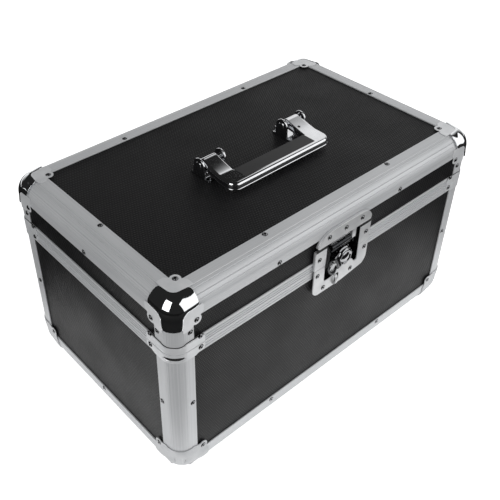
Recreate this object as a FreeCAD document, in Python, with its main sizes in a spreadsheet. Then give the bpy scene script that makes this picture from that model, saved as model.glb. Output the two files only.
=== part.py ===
import FreeCAD, Part
import math
import os
import Sketcher
from FreeCAD import Matrix, Placement, Rotation, Vector

# Record carrying case, in millimetres. The origin is at the centre of the footprint, on the
# plane that the feet stand on. +X runs along the long side, -Y is the latch face, +Z is up.

DOC = FreeCAD.newDocument("record_case")
SHEET = DOC.addObject("Spreadsheet::Sheet", "sizes")

DRIVING = {
    # Case
    "case_long": 430.0,
    "case_deep": 263.0,
    "case_high": 237.0,
    "foot_high": 5.0,
    "parting": 177.5,
    "rim_gap": 0.3,
    "rim_band": 9.8,
    "groove": 0.5,
    # Aluminium extrusion
    "bend": 16.0,
    "inner_corner": 14.0,
    "flange": 24.5,
    "skin": 1.5,
    "board": 6.0,
    "inner_leg": 1.2,
    "inner_reach": 22.0,
    # Rim tongue and groove
    "web": 1.5,
    "tongue_in": 8.2,
    "tongue_thick": 1.2,
    "tongue_high": 2.4,
    # Lining
    "lining": 2.0,
    # Corners
    "ball_thick": 2.0,
    "arm_reach": 30.0,
    "plate_reach": 35.5,
    "plate_thick": 1.0,
    "web_round": 5.0,
    "lobe_at": 27.5,
    "lobe_round": 5.4,
    "base_plate": 37.5,
    "base_lobe": 30.5,
    "brace_reach": 36.0,
    "brace_thick": 1.0,
    "brace_rivet": 31.0,
    "brace_lift": 13.5,
    "scoop_low": 7.5,
    "scoop_round": 16.5,
    "scoop_in": 8.0,
    # Rivets
    "rivet_wide": 2.4,
    "rivet_high": 0.8,
    "edge_rivet": 88.0,
    "edge_rivet_in": 21.0,
    # Feet
    "foot_round": 10.0,
    "foot_well": 5.0,
    "foot_web": 1.5,
    "foot_screw": 4.2,
    "foot_head": 1.8,
    "foot_x": 168.0,
    "foot_y": 84.0,
    # Hinges
    "hinge_x": 118.0,
    "hinge_wide": 56.0,
    "hinge_tall": 27.0,
    "hinge_out": 4.6,
    "knuckle": 3.9,
    "hinge_pin": 1.75,
    "leaf": 1.5,
    # Handle
    "ear_inner": 44.5,
    "ear_outer": 72.5,
    "ear_thick": 2.0,
    "ear_round": 8.0,
    "pivot_high": 13.0,
    "pivot_back": 1.0,
    "handle_pin": 2.8,
    "handle_head": 4.2,
    "lip_high": 5.4,
    "arm_eye": 5.5,
    "arm_inner": 50.5,
    "arm_outer": 70.9,
    "grip_back": 26.0,
    "grip_front": 48.5,
    "grip_top": 12.0,
    "grip_thick": 8.5,
    "grip_corner": 11.0,
    "inset_front": 43.0,
    "inset_half": 50.0,
    "inset_deep": 1.2,
    # Latch
    "latch_half": 40.5,
    "latch_low": 140.0,
    "latch_proud": 3.0,
    "latch_sheet": 1.4,
    "window_half": 24.8,
    "window_low": 156.0,
    "window_high": 204.6,
    "dish_deep": 12.0,
    "dish_wall": 1.2,
    "hook_lift": 4.5,
    "boss_round": 11.5,
    "boss_flat": 7.6,
    "boss_dimple": 6.4,
    "boss_sleeve": 5.0,
    "stud": 3.0,
    "wing_pin": 0.8,
    "wing_pin_out": 9.5,
    "wing_eye": 1.4,
    "wing_thick": 1.8,
    "wing_tip": 24.0,
}

for row, (alias, number) in enumerate(DRIVING.items(), start=1):
    SHEET.set(f"A{row}", alias)
    SHEET.set(f"B{row}", str(number))
    SHEET.setAlias(f"B{row}", alias)
DOC.recompute()


class Size:
    """A length in mm that also carries the sheet expression it comes from."""

    def __init__(self, value, text):
        self.value = float(value)
        self.text = text

    def __add__(self, other):
        other = as_size(other)
        return Size(self.value + other.value, f"({self.text} + {other.text})")

    def __sub__(self, other):
        other = as_size(other)
        return Size(self.value - other.value, f"({self.text} - {other.text})")

    def __mul__(self, other):
        other = as_size(other)
        return Size(self.value * other.value, f"({self.text} * {other.text})")

    def __truediv__(self, other):
        other = as_size(other)
        return Size(self.value / other.value, f"({self.text} / {other.text})")

    def __neg__(self):
        return Size(-self.value, f"(0 - {self.text})")

    __radd__ = __add__
    __rmul__ = __mul__

    def __rsub__(self, other):
        return as_size(other) - self


def as_size(item):
    """A plain number as a Size, or the Size itself."""
    if isinstance(item, Size):
        return item
    return Size(item, f"({float(item):.6f})")


def driving(alias):
    """The Size of one cell of the sheet."""
    return Size(getattr(SHEET, alias), f"sizes.{alias}")


class Sizes:
    """Gives each cell of the sheet as an attribute."""

    def __getattr__(self, alias):
        return driving(alias)


S = Sizes()
HALF_LONG = S.case_long / 2
HALF_DEEP = S.case_deep / 2
FLOOR = S.foot_high
TOP = S.foot_high + S.case_high
PARTING = S.foot_high + S.parting
BODY_TOP = PARTING - S.rim_gap
LID_LOW = PARTING + S.rim_gap
BODY_BAND = BODY_TOP - S.rim_band - 0.7
LID_BAND = LID_LOW + S.rim_band - 0.6
BOARD_OUT = S.skin
BOARD_IN = S.skin + S.board
LINING_OUT = BOARD_IN + S.inner_leg

SUB_PARTS = []


def bind(item, path, size):
    """Ties one property to the sheet."""
    item.setExpression(path, as_size(size).text)


def keep(item, label):
    """Names a finished sub-part and adds it to the list of files."""
    item.Label = label
    SUB_PARTS.append(item)
    return item


def name(kind):
    """A fresh internal name for a helper object."""
    return f"{kind}_{len(DOC.Objects)}"


def locate(item, x=0, y=0, z=0, rotation=None):
    """Puts an object at a point whose coordinates follow the sheet."""
    x, y, z = as_size(x), as_size(y), as_size(z)
    item.Placement = Placement(Vector(x.value, y.value, z.value), rotation or Rotation())
    for axis, size in (("x", x), ("y", y), ("z", z)):
        bind(item, f"Placement.Base.{axis}", size)
    return item


def box(low, high):
    """A box between two corners."""
    item = DOC.addObject("Part::Box", name("box"))
    for edge, start, end in zip(("Length", "Width", "Height"), low, high):
        bind(item, edge, as_size(end) - as_size(start))
    return locate(item, *low)


def facing(direction):
    """The rotation that turns +Z to a direction."""
    return Rotation(Vector(0, 0, 1), Vector(*direction))


def cylinder(radius, length, at, direction=(0, 0, 1)):
    """A round bar from a point along a direction."""
    item = DOC.addObject("Part::Cylinder", name("cylinder"))
    bind(item, "Radius", radius)
    bind(item, "Height", length)
    return locate(item, *at, facing(direction))


def prism(sides, radius, length, at, direction=(0, 0, 1)):
    """A bar with a number of flat sides, from a point along a direction."""
    item = DOC.addObject("Part::Prism", name("prism"))
    item.Polygon = sides
    bind(item, "Circumradius", radius)
    bind(item, "Height", length)
    return locate(item, *at, facing(direction))


def ball(radius, at):
    """A full sphere round a point."""
    item = DOC.addObject("Part::Sphere", name("ball"))
    bind(item, "Radius", radius)
    return locate(item, *at)


def boolean(kind, parts):
    """One fuse or common of several objects."""
    item = DOC.addObject(kind, name("joined"))
    item.Shapes = parts
    return item


def fuse(parts):
    """All the parts as one solid."""
    item = boolean("Part::MultiFuse", parts)
    item.Refine = True
    return item


def common(parts):
    """What all the parts share."""
    return boolean("Part::MultiCommon", parts)


def cut(base, tool):
    """The base without the tool."""
    item = DOC.addObject("Part::Cut", name("cut"))
    item.Base = base
    item.Tool = tool
    return item


def group(parts):
    """Separate solids that share one node."""
    item = DOC.addObject("Part::Compound", name("group"))
    item.Links = parts
    return item


def segment(here, there):
    """A straight edge or, where the corner has a radius, the minor arc to the next corner."""
    start = Vector(as_size(here[0]).value, as_size(here[1]).value, 0)
    end = Vector(as_size(there[0]).value, as_size(there[1]).value, 0)
    if len(here) == 2:
        return Part.LineSegment(start, end), 1, 2
    radius = abs(as_size(here[2]).value)
    turn = here[3]
    chord = end - start
    middle = (start + end) * 0.5
    side = Vector(-chord.y, chord.x, 0).normalize() * turn
    height = math.sqrt(max(radius ** 2 - (chord.Length / 2) ** 2, 0.0))
    centre = middle + side * height
    bulge = centre - side * radius
    arc = Part.Arc(start, bulge, end)
    if turn > 0:
        return arc, 1, 2
    return arc, 2, 1


def add_loop(sketch, corners):
    """Draws one closed outline. A corner is (x, y), or (x, y, radius, turn) where an arc starts."""
    first = sketch.GeometryCount
    pieces = [segment(here, corners[(place + 1) % len(corners)]) for place, here in enumerate(corners)]
    sketch.addGeometry([piece[0] for piece in pieces], False)
    for place, (_, start, end) in enumerate(pieces):
        following = (place + 1) % len(pieces)
        sketch.addConstraint(Sketcher.Constraint("Coincident", first + place, end,
                                                 first + following, pieces[following][1]))
    for place, corner in enumerate(corners):
        for axis, size in (("DistanceX", as_size(corner[0])), ("DistanceY", as_size(corner[1]))):
            index = sketch.addConstraint(Sketcher.Constraint(axis, -1, 1, first + place, pieces[place][1],
                                                             size.value))
            bind(sketch, f"Constraints[{index}]", size)
        if len(corner) == 4:
            index = sketch.addConstraint(Sketcher.Constraint("Radius", first + place,
                                                             as_size(corner[2]).value))
            bind(sketch, f"Constraints[{index}]", corner[2])


def add_circle(sketch, x, y, radius):
    """Draws one circle."""
    x, y, radius = as_size(x), as_size(y), as_size(radius)
    place = sketch.addGeometry(Part.Circle(Vector(x.value, y.value, 0), Vector(0, 0, 1), radius.value))
    for kind, size in (("DistanceX", x), ("DistanceY", y)):
        index = sketch.addConstraint(Sketcher.Constraint(kind, -1, 1, place, 3, size.value))
        bind(sketch, f"Constraints[{index}]", size)
    index = sketch.addConstraint(Sketcher.Constraint("Radius", place, radius.value))
    bind(sketch, f"Constraints[{index}]", radius)


def add_sketch(body, plane, level, outlines):
    """A sketch on one of the body's own origin planes, moved out to a level."""
    sketch = body.newObject("Sketcher::SketchObject", name("sketch"))
    support = [part for part in body.Origin.OriginFeatures if part.Role == plane][0]
    sketch.AttachmentSupport = [(support, "")]
    sketch.MapMode = "FlatFace"
    level = as_size(level)
    sketch.AttachmentOffset = Placement(Vector(0, 0, level.value), Rotation())
    bind(sketch, "AttachmentOffset.Base.z", level)
    for outline in outlines:
        if outline[0] == "circle":
            add_circle(sketch, *outline[1:])
        else:
            add_loop(sketch, outline)
    return sketch


def new_body():
    """An empty body."""
    return DOC.addObject("PartDesign::Body", name("body"))


def pad(body, plane, level, length, outlines):
    """Adds a prism that grows from the level along the plane's normal."""
    sketch = add_sketch(body, plane, level, outlines)
    item = body.newObject("PartDesign::Pad", name("pad"))
    item.Profile = sketch
    bind(item, "Length", length)
    DOC.recompute()
    return item


def pocket(body, plane, level, length, outlines):
    """Cuts a prism that grows from the level along the plane's normal."""
    before = body.Shape.Volume
    sketch = add_sketch(body, plane, level, outlines)
    item = body.newObject("PartDesign::Pocket", name("pocket"))
    item.Profile = sketch
    item.Reversed = True
    bind(item, "Length", length)
    DOC.recompute()
    if body.Shape.Volume > before - 0.01:
        raise ValueError(f"{item.Name} cuts nothing")
    return item


def rounded(half_x, half_y, radius):
    """A rectangle round the origin with rounded corners, as an outline."""
    straight_x = half_x - radius
    straight_y = half_y - radius
    return [
        (-straight_x, -half_y), (straight_x, -half_y, radius, 1),
        (half_x, -straight_y), (half_x, straight_y, radius, 1),
        (straight_x, half_y), (-straight_x, half_y, radius, 1),
        (-half_x, straight_y), (-half_x, -straight_y, radius, 1),
    ]


def inset(depth):
    """The case's footprint, moved inwards by a depth."""
    depth = as_size(depth)
    return rounded(HALF_LONG - depth, HALF_DEEP - depth, S.bend - depth)


def square_inset(depth):
    """The same with square corners."""
    x, y = HALF_LONG - depth, HALF_DEEP - depth
    return [(-x, -y), (x, -y), (x, y), (-x, y)]


def chamfered_inset(depth):
    """The same with the corners cut off straight."""
    x, y = HALF_LONG - depth, HALF_DEEP - depth
    near_x, near_y = HALF_LONG - S.inner_corner, HALF_DEEP - S.inner_corner
    return [(-near_x, -y), (near_x, -y), (x, -near_y), (x, near_y), (near_x, y), (-near_x, y),
            (-x, near_y), (-x, -near_y)]


def facets(x, y, radius, start, end, count):
    """Points on a circle from one angle to another, in degrees."""
    points = []
    for step in range(count + 1):
        angle = math.radians(start + (end - start) * step / count)
        points.append((x + radius * math.cos(angle), y + radius * math.sin(angle)))
    return points


# Panels


def panel(label, low, high, window=None):
    """A flat board, with an opening where the latch goes through it."""
    item = box(low, high)
    if window:
        item = cut(item, window)
    return keep(item, label)


def latch_window(low, high):
    """The block of space that the latch takes out of the front wall."""
    half = S.window_half + S.dish_wall + 0.4
    return box((-half, -HALF_DEEP - 1, low), (half, -HALF_DEEP + BOARD_IN + 3, high))


def make_walls(prefix, low, high, window):
    """The four side boards of the body or the lid."""
    end_x = HALF_LONG - S.bend
    end_y = HALF_DEEP - S.bend
    front = -HALF_DEEP + BOARD_OUT
    left = -HALF_LONG + BOARD_OUT
    panel(f"{prefix}_front_panel", (-end_x, front, low), (end_x, front + S.board, high), window)
    panel(f"{prefix}_back_panel", (-end_x, -front - S.board, low), (end_x, -front, high))
    panel(f"{prefix}_left_panel", (left, -end_y, low), (left + S.board, end_y, high))
    panel(f"{prefix}_right_panel", (-left - S.board, -end_y, low), (-left, end_y, high))


def make_panels():
    """The ten boards."""
    end_x = HALF_LONG - S.bend
    end_y = HALF_DEEP - S.bend
    panel("base_panel", (-end_x, -end_y, FLOOR + BOARD_OUT), (end_x, end_y, FLOOR + BOARD_IN))
    panel("lid_top_panel", (-end_x, -end_y, TOP - BOARD_IN), (end_x, end_y, TOP - BOARD_OUT))
    body_window = latch_window(FLOOR + S.window_low - S.dish_wall - 0.4, PARTING)
    lid_window = latch_window(PARTING, FLOOR + S.window_high + S.dish_wall + 0.4)
    make_walls("body", FLOOR + S.bend, BODY_TOP - S.web, body_window)
    make_walls("lid", LID_LOW + S.web, TOP - S.bend, lid_window)


# Aluminium edges


def edge_outline():
    """The extrusion's section: a rounded corner, two outer flanges and two inner legs."""
    bend, flange, skin = S.bend, S.flange, S.skin
    leg, reach, near = BOARD_IN + S.inner_leg, S.inner_reach, S.inner_corner
    return [
        (flange, 0), (bend, 0, bend, -1), (0, bend), (0, flange), (skin, flange), (skin, near),
        (BOARD_IN, near), (BOARD_IN, reach), (leg, reach), (leg, near), (near, leg), (reach, leg),
        (reach, BOARD_IN), (near, BOARD_IN), (near, skin), (flange, skin),
    ]


def chamber_outline():
    """The closed hollow behind the rounded corner."""
    far = S.inner_corner - S.skin
    near = S.skin + 0.6
    corner = S.bend - (S.bend - S.skin - 0.6) * math.sqrt(0.5)
    return [(far, near), (far, BOARD_IN), (BOARD_IN, far), (near, far), (corner, corner)]


MITRE_EXTRA = 0.05


def mitre(body, end, back):
    """Cuts both flanges at 45 degrees at one end, so that three lengths meet at a corner."""
    bend, wide = S.bend, S.flange + 1
    near = end - MITRE_EXTRA * back
    wedge = [(bend - MITRE_EXTRA, near), (wide, near), (wide, end + (wide - bend) * back)]
    if back < 0:
        wedge.reverse()
    pocket(body, "XZ_Plane", -wide - 1, wide + 2, [wedge])
    pocket(body, "YZ_Plane", -1, wide + 2, [wedge])


def edge(label, corner, inward, across, along, length, ends=2):
    """One length of extrusion from a corner point. The section is the same both ways."""
    if Vector(*inward).cross(Vector(*across)).dot(Vector(*along)) < 0:
        inward, across = across, inward
    body = new_body()
    pad(body, "XY_Plane", 0, length, [edge_outline(), chamber_outline()])
    if ends != -1:
        mitre(body, as_size(0), 1)
    if ends != 1:
        mitre(body, as_size(length), -1)
    matrix = Matrix(inward[0], across[0], along[0], 0, inward[1], across[1], along[1], 0,
                    inward[2], across[2], along[2], 0, 0, 0, 0, 1)
    locate(body, *corner, Placement(matrix).Rotation)
    if label:
        keep(body, label)
    return body


def make_edge_ring(prefix, level, inward):
    """The four long edges round the bottom or the top."""
    end_x = HALF_LONG - S.bend
    end_y = HALF_DEEP - S.bend
    for side, sign in (("front", -1), ("back", 1)):
        edge(f"{prefix}_edge_{side}", (-end_x, sign * HALF_DEEP, level), (0, -sign, 0), (0, 0, inward),
             (1, 0, 0), end_x * 2)
    for side, sign in (("left", -1), ("right", 1)):
        edge(f"{prefix}_edge_{side}", (sign * HALF_LONG, -end_y, level), (-sign, 0, 0), (0, 0, inward),
             (0, 1, 0), end_y * 2)


CORNERS = {"front_left": (-1, -1), "front_right": (1, -1), "back_right": (1, 1), "back_left": (-1, 1)}


def make_edges():
    """All the aluminium edges."""
    make_edge_ring("base", FLOOR, 1)
    make_edge_ring("lid", TOP, -1)
    low = FLOOR + S.bend
    for side, (x, y) in CORNERS.items():
        edge(f"upright_{side}", (x * HALF_LONG, y * HALF_DEEP, low), (-x, 0, 0), (0, -y, 0), (0, 0, 1),
             BODY_BAND - low, 1)
    posts = [edge(None, (x * HALF_LONG, y * HALF_DEEP, LID_BAND), (-x, 0, 0), (0, -y, 0), (0, 0, 1),
                  TOP - S.bend - LID_BAND, -1) for x, y in CORNERS.values()]
    keep(group(posts), "lid_corner_posts")


# Rim frames


def rim_ring(body, low, high, outer, inner):
    """Adds one band of the rim between two depths from the case's faces."""
    pad(body, "XY_Plane", low, high - low, [outer, inner])


def rim_skin(body, low, high):
    """Adds the outer skin of the rim, which follows the round corners."""
    pad(body, "XY_Plane", low, high - low, [inset(0), chamfered_inset(S.skin)])


def rim_grooves(low, high):
    """The shallow groove along each side of a rim, between the corner braces."""
    end_x = HALF_LONG - S.brace_reach + 2
    end_y = HALF_DEEP - S.brace_reach + 2
    deep, clear = S.groove, 1
    return group([
        box((-end_x, -HALF_DEEP - clear, low), (end_x, -HALF_DEEP + deep, high)),
        box((-end_x, HALF_DEEP - deep, low), (end_x, HALF_DEEP + clear, high)),
        box((-HALF_LONG - clear, -end_y, low), (-HALF_LONG + deep, end_y, high)),
        box((HALF_LONG - deep, -end_y, low), (HALF_LONG + clear, end_y, high)),
    ])


def mitre_cuts(level):
    """Four thin diagonal slits where the lengths of the rim meet."""
    slits = []
    for x, y in CORNERS.values():
        slit = DOC.addObject("Part::Box", name("slit"))
        slit.Length = 40
        slit.Width = 0.1
        slit.Height = 30
        angle = math.degrees(math.atan2(-y, -x))
        locate(slit, x * (HALF_LONG + 2), y * (HALF_DEEP + 2), level, Rotation(Vector(0, 0, 1), angle))
        slits.append(slit)
    return group(slits)


def make_rims():
    """The two frames that meet at the parting line."""
    web_low = BODY_TOP - S.web
    tongue_out, tongue_in = square_inset(S.tongue_in), square_inset(S.tongue_in + S.tongue_thick)
    low_frame = new_body()
    rim_skin(low_frame, BODY_BAND, BODY_TOP)
    rim_ring(low_frame, web_low, BODY_TOP, chamfered_inset(0.2), tongue_in)
    rim_ring(low_frame, web_low - 5.5, web_low + 0.2, square_inset(BOARD_IN), square_inset(LINING_OUT))
    rim_ring(low_frame, BODY_TOP - 0.2, BODY_TOP + S.tongue_high, tongue_out, tongue_in)
    frame = cut(low_frame, latch_window(BODY_BAND - 1, BODY_TOP + 5))
    frame = cut(frame, rim_grooves(BODY_BAND + 4.0, BODY_BAND + 6.2))
    keep(cut(frame, mitre_cuts(BODY_BAND - 5)), "body_rim_frame")
    high_frame = new_body()
    rim_skin(high_frame, LID_LOW, LID_BAND)
    rim_ring(high_frame, LID_LOW, LID_LOW + S.web, chamfered_inset(0.2), square_inset(BOARD_IN - 0.1))
    frame = cut(high_frame, latch_window(LID_LOW - 1, LID_BAND + 1))
    frame = cut(frame, rim_grooves(LID_LOW + 3.6, LID_LOW + 5.8))
    keep(cut(frame, mitre_cuts(LID_LOW - 5)), "lid_rim_frame")


# Lining


def lining_sheets(label, floor, low, high, notch):
    """A sheet on the floor board and one on each wall board, between the legs of the edges."""
    end_x = HALF_LONG - S.inner_reach
    end_y = HALF_DEEP - S.inner_reach
    wall_x = HALF_LONG - BOARD_IN
    wall_y = HALF_DEEP - BOARD_IN
    thick = S.lining
    flat_low, flat_high = floor
    sheets = [
        box((-end_x, -end_y, flat_low), (end_x, end_y, flat_high)),
        cut(box((-end_x, -wall_y, low), (end_x, -wall_y + thick, high)), notch),
        box((-end_x, wall_y - thick, low), (end_x, wall_y, high)),
        box((-wall_x, -end_y, low), (-wall_x + thick, end_y, high)),
        box((wall_x - thick, -end_y, low), (wall_x, end_y, high)),
    ]
    keep(group(sheets), label)


def make_linings():
    """The soft sheets glued inside the body and the lid."""
    half = S.window_half + 3
    back = -HALF_DEEP + BOARD_IN + S.lining + 1
    floor = FLOOR + BOARD_IN
    notch = box((-half, -HALF_DEEP, FLOOR + S.window_low - 4), (half, back, PARTING))
    lining_sheets("body_lining", (floor, floor + S.lining), FLOOR + S.inner_reach, BODY_TOP - 8, notch)
    ceiling = TOP - BOARD_IN
    notch = box((-half, -HALF_DEEP, LID_LOW), (half, back, FLOOR + S.window_high + 4))
    lining_sheets("lid_lining", (ceiling - S.lining, ceiling), LID_LOW + 5, TOP - S.inner_reach, notch)


# Ball corners


THIRD_TURNS = [Rotation(Vector(1, 1, 1), angle) for angle in (0, 120, 240)]


def tube_outline(thickness):
    """A quarter of a tube's section: round outside, flats inside that clear the extrusion."""
    bend = S.bend
    inside = facets(bend, bend, bend / math.cos(math.radians(11.25)), 191.25, 258.75, 3)
    return [(bend, -thickness, bend + thickness, -1), (-thickness, bend), (0, bend)] + inside + [(bend, 0)]


def flange_outline(reach, lobe):
    """The flat flange of a corner on one face, with the round lobe of the rivet."""
    bend, wide = S.bend, S.flange - 3
    swell = facets(lobe, lobe, S.lobe_round, -30, 120, 4)
    return [(bend, bend), (reach, bend), (reach, wide)] + swell + [(wide, reach), (bend, reach)]


def web_outline(fillet):
    """The hollow curve between two arms."""
    bend = S.bend
    return [(bend, bend)] + facets(bend + fillet, bend + fillet, fillet, 270, 180, 4)


def three_ways(low, high, outline):
    """The same prism along each of the three axes that meet at a corner."""
    prisms = []
    for turn in THIRD_TURNS:
        body = new_body()
        pad(body, "XY_Plane", low, high - low, [outline])
        body.Placement = Placement(Vector(), turn)
        prisms.append(body)
    return prisms


def corner_cap(arm, plate, lobe, thickness, fillet):
    """A pressed corner in the octant of +X, +Y, +Z: a ball, three arms and three flanges."""
    bend = S.bend
    zero = as_size(0)
    outer = bend + thickness
    octant = common([ball(outer, (bend, bend, bend)), box((-outer, -outer, -outer), (bend, bend, bend))])
    near = bend - bend * 0.5
    octant = cut(octant, box((near, near, near), (bend + 1, bend + 1, bend + 1)))
    parts = [octant] + three_ways(bend, as_size(arm), tube_outline(thickness))
    parts += three_ways(-S.plate_thick, zero, flange_outline(plate, lobe))
    if fillet:
        parts += three_ways(-thickness, zero, web_outline(fillet))
    return fuse(parts)


def make_corners():
    """Four polished corners on the lid and four satin ones under the body."""
    chrome = []
    satin = []
    flip = Rotation(Vector(1, 1, 0), 180)
    for turn, (x, y) in enumerate(CORNERS.values()):
        around = Rotation(Vector(0, 0, 1), 90 * turn)
        cap = corner_cap(S.arm_reach, S.plate_reach, S.lobe_at, S.ball_thick, S.web_round)
        chrome.append(locate(cap, x * HALF_LONG, y * HALF_DEEP, TOP, around * flip))
        cap = corner_cap(S.base_plate, S.base_plate, S.base_lobe, S.plate_thick, None)
        satin.append(locate(cap, x * HALF_LONG, y * HALF_DEEP, FLOOR, around))
    keep(group(chrome), "lid_ball_corners")
    keep(group(satin), "base_ball_corners")


def corner_blocks(reach, low, high):
    """Four blocks of space, one at each upright corner."""
    blocks = []
    for x, y in CORNERS.values():
        far_x, near_x = x * (HALF_LONG + 5), x * (HALF_LONG - reach)
        far_y, near_y = y * (HALF_DEEP + 5), y * (HALF_DEEP - reach)
        low_x, high_x = (far_x, near_x) if x < 0 else (near_x, far_x)
        low_y, high_y = (far_y, near_y) if y < 0 else (near_y, far_y)
        blocks.append(box((low_x, low_y, low), (high_x, high_y, high)))
    return group(blocks)


SCOOP_SIDES = 12


def make_braces():
    """The pressed braces that wrap the mitred corners of both rims."""
    low = new_body()
    pad(low, "XY_Plane", BODY_BAND, BODY_TOP - BODY_BAND, [inset(-S.brace_thick), inset(0)])
    item = DOC.addObject("Part::Common", name("common"))
    item.Base = low
    item.Tool = corner_blocks(S.brace_reach, BODY_BAND - 5, BODY_TOP + 5)
    keep(item, "body_rim_braces")
    top = LID_LOW + S.brace_lift
    high = new_body()
    pad(high, "XY_Plane", LID_LOW, top - LID_LOW, [inset(-S.brace_thick), inset(0)])
    item = DOC.addObject("Part::Common", name("common"))
    item.Base = high
    item.Tool = corner_blocks(S.brace_reach, LID_LOW - 5, top + 5)
    scoops = []
    level = LID_LOW + S.scoop_low + S.scoop_round
    for x, y in CORNERS.values():
        in_x = x * (HALF_LONG - S.scoop_in)
        in_y = y * (HALF_DEEP - S.scoop_in)
        out_x = x * (HALF_LONG + 5)
        out_y = y * (HALF_DEEP + 5)
        scoops.append(prism(SCOOP_SIDES, S.scoop_round, S.bend + 5, (in_x, out_y, level), (0, -y, 0)))
        scoops.append(prism(SCOOP_SIDES, S.scoop_round, S.bend + 5, (out_x, in_y, level), (-x, 0, 0)))
    keep(cut(item, group(scoops)), "lid_rim_braces")


# Rivets, feet and screws

RIVET_SIDES = 6


def rivet(at, direction):
    """The low head of one rivet, standing on a surface."""
    return prism(RIVET_SIDES, S.rivet_wide, S.rivet_high, at, direction)


def corner_rivets(lobe, thickness, level, inward):
    """One rivet on each face of the four ball corners."""
    heads = []
    for x, y in CORNERS.values():
        at_x, at_y, at_z = x * (HALF_LONG - lobe), y * (HALF_DEEP - lobe), level + inward * lobe
        heads.append(rivet((x * (HALF_LONG + thickness), at_y, at_z), (x, 0, 0)))
        heads.append(rivet((at_x, y * (HALF_DEEP + thickness), at_z), (0, y, 0)))
        heads.append(rivet((at_x, at_y, level - inward * thickness), (0, 0, -inward)))
    return heads


def upright_rivets(inset_by, level, proud):
    """Two rivets at each upright corner, one on each face."""
    heads = []
    for x, y in CORNERS.values():
        heads.append(rivet((x * (HALF_LONG + proud), y * (HALF_DEEP - inset_by), level), (x, 0, 0)))
        heads.append(rivet((x * (HALF_LONG - inset_by), y * (HALF_DEEP + proud), level), (0, y, 0)))
    return heads


def edge_rivets(level, inward, faces):
    """The rivets along the four long edges, on the side faces and, for the lid, on top as well."""
    heads = []
    at_z = level + inward * S.edge_rivet_in
    for sign in (-1, 1):
        for along in (-S.edge_rivet, S.edge_rivet):
            heads.append(rivet((along, sign * HALF_DEEP, at_z), (0, sign, 0)))
            if faces == 2:
                heads.append(rivet((along, sign * (HALF_DEEP - S.edge_rivet_in), level), (0, 0, -inward)))
        heads.append(rivet((sign * HALF_LONG, 0, at_z), (sign, 0, 0)))
        if faces == 2:
            heads.append(rivet((sign * (HALF_LONG - S.edge_rivet_in), 0, level), (0, 0, -inward)))
    return heads


def face_rivets(places, direction):
    """Rivets at points given one by one."""
    return [rivet(place, direction) for place in places]


def hinge_rivets(up):
    """Three rivets in each hinge leaf."""
    heads = []
    depth = HALF_DEEP - S.skin + S.leaf
    for side in (-1, 1):
        for step in (-1, 0, 1):
            at_x = side * S.hinge_x + step * (S.hinge_wide / 2 - 9)
            heads.append(rivet((at_x, depth, PARTING + up * (S.hinge_tall - 6)), (0, 1, 0)))
    return heads


def make_rivets():
    """All the rivet heads, one node for each of the two bodies."""
    face = -HALF_DEEP - S.latch_proud
    on_dish = [(-35.3, 169.5), (35.3, 169.5), (-25, 148.5), (16, 151)]
    on_flanges = [(-34.5, 190), (34.5, 190)]
    on_strip = [(-23.2, 212.8), (1, 212.8), (25, 212.8)]
    body_heads = corner_rivets(S.base_lobe, S.plate_thick, FLOOR, 1)
    body_heads += upright_rivets(20.5, FLOOR + 104, 0)
    body_heads += upright_rivets(S.brace_rivet, BODY_TOP - 3.6, S.brace_thick)
    body_heads += edge_rivets(FLOOR, 1, 1)
    body_heads += face_rivets([(x, face, FLOOR + z) for x, z in on_dish], (0, -1, 0))
    body_heads += hinge_rivets(-1)
    keep(group(body_heads), "body_rivets")
    lid_heads = corner_rivets(S.lobe_at, S.plate_thick, TOP, -1)
    lid_heads += upright_rivets(20.5, TOP - 38.6, 0)
    lid_heads += upright_rivets(S.brace_rivet, LID_LOW + 9.6, S.brace_thick)
    lid_heads += edge_rivets(TOP, -1, 2)
    lid_heads += face_rivets([(x, face, FLOOR + z) for x, z in on_flanges], (0, -1, 0))
    lid_heads += face_rivets([(x, face - 0.4, FLOOR + z) for x, z in on_strip], (0, -1, 0))
    lid_heads += hinge_rivets(1)
    keep(group(lid_heads), "lid_rivets")


def make_feet():
    """Four rubber feet, each held by a sunk screw."""
    feet = []
    screws = []
    for x in (-S.foot_x, S.foot_x):
        for y in (-S.foot_y, S.foot_y):
            foot = prism(16, S.foot_round, FLOOR, (x, y, 0))
            well = prism(10, S.foot_well, S.foot_high - S.foot_web, (x, y, 0))
            feet.append(cut(foot, well))
            head_low = S.foot_high - S.foot_web - S.foot_head
            screws.append(prism(8, S.foot_screw, S.foot_head, (x, y, head_low)))
    keep(group(feet), "rubber_feet")
    keep(group(screws), "foot_screws")


# Hinges

LEAF_STEPS = 3


def leaf_outline():
    """A hinge leaf from the side: flat on the board, a step over the rim, a curl to the knuckle."""
    board, skin, leaf = -S.skin, S.skin, S.leaf
    rim = -S.rim_band - 1.6
    return [
        (board, -S.hinge_tall), (board + leaf, -S.hinge_tall), (board + leaf, rim - skin),
        (leaf, rim), (leaf, -7.5), (S.hinge_out, -S.knuckle + 0.2), (S.hinge_out, -2.2),
        (S.hinge_out - 3.1, -2.2), (0, -4.2), (0, rim), (board, rim - skin),
    ]


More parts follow.
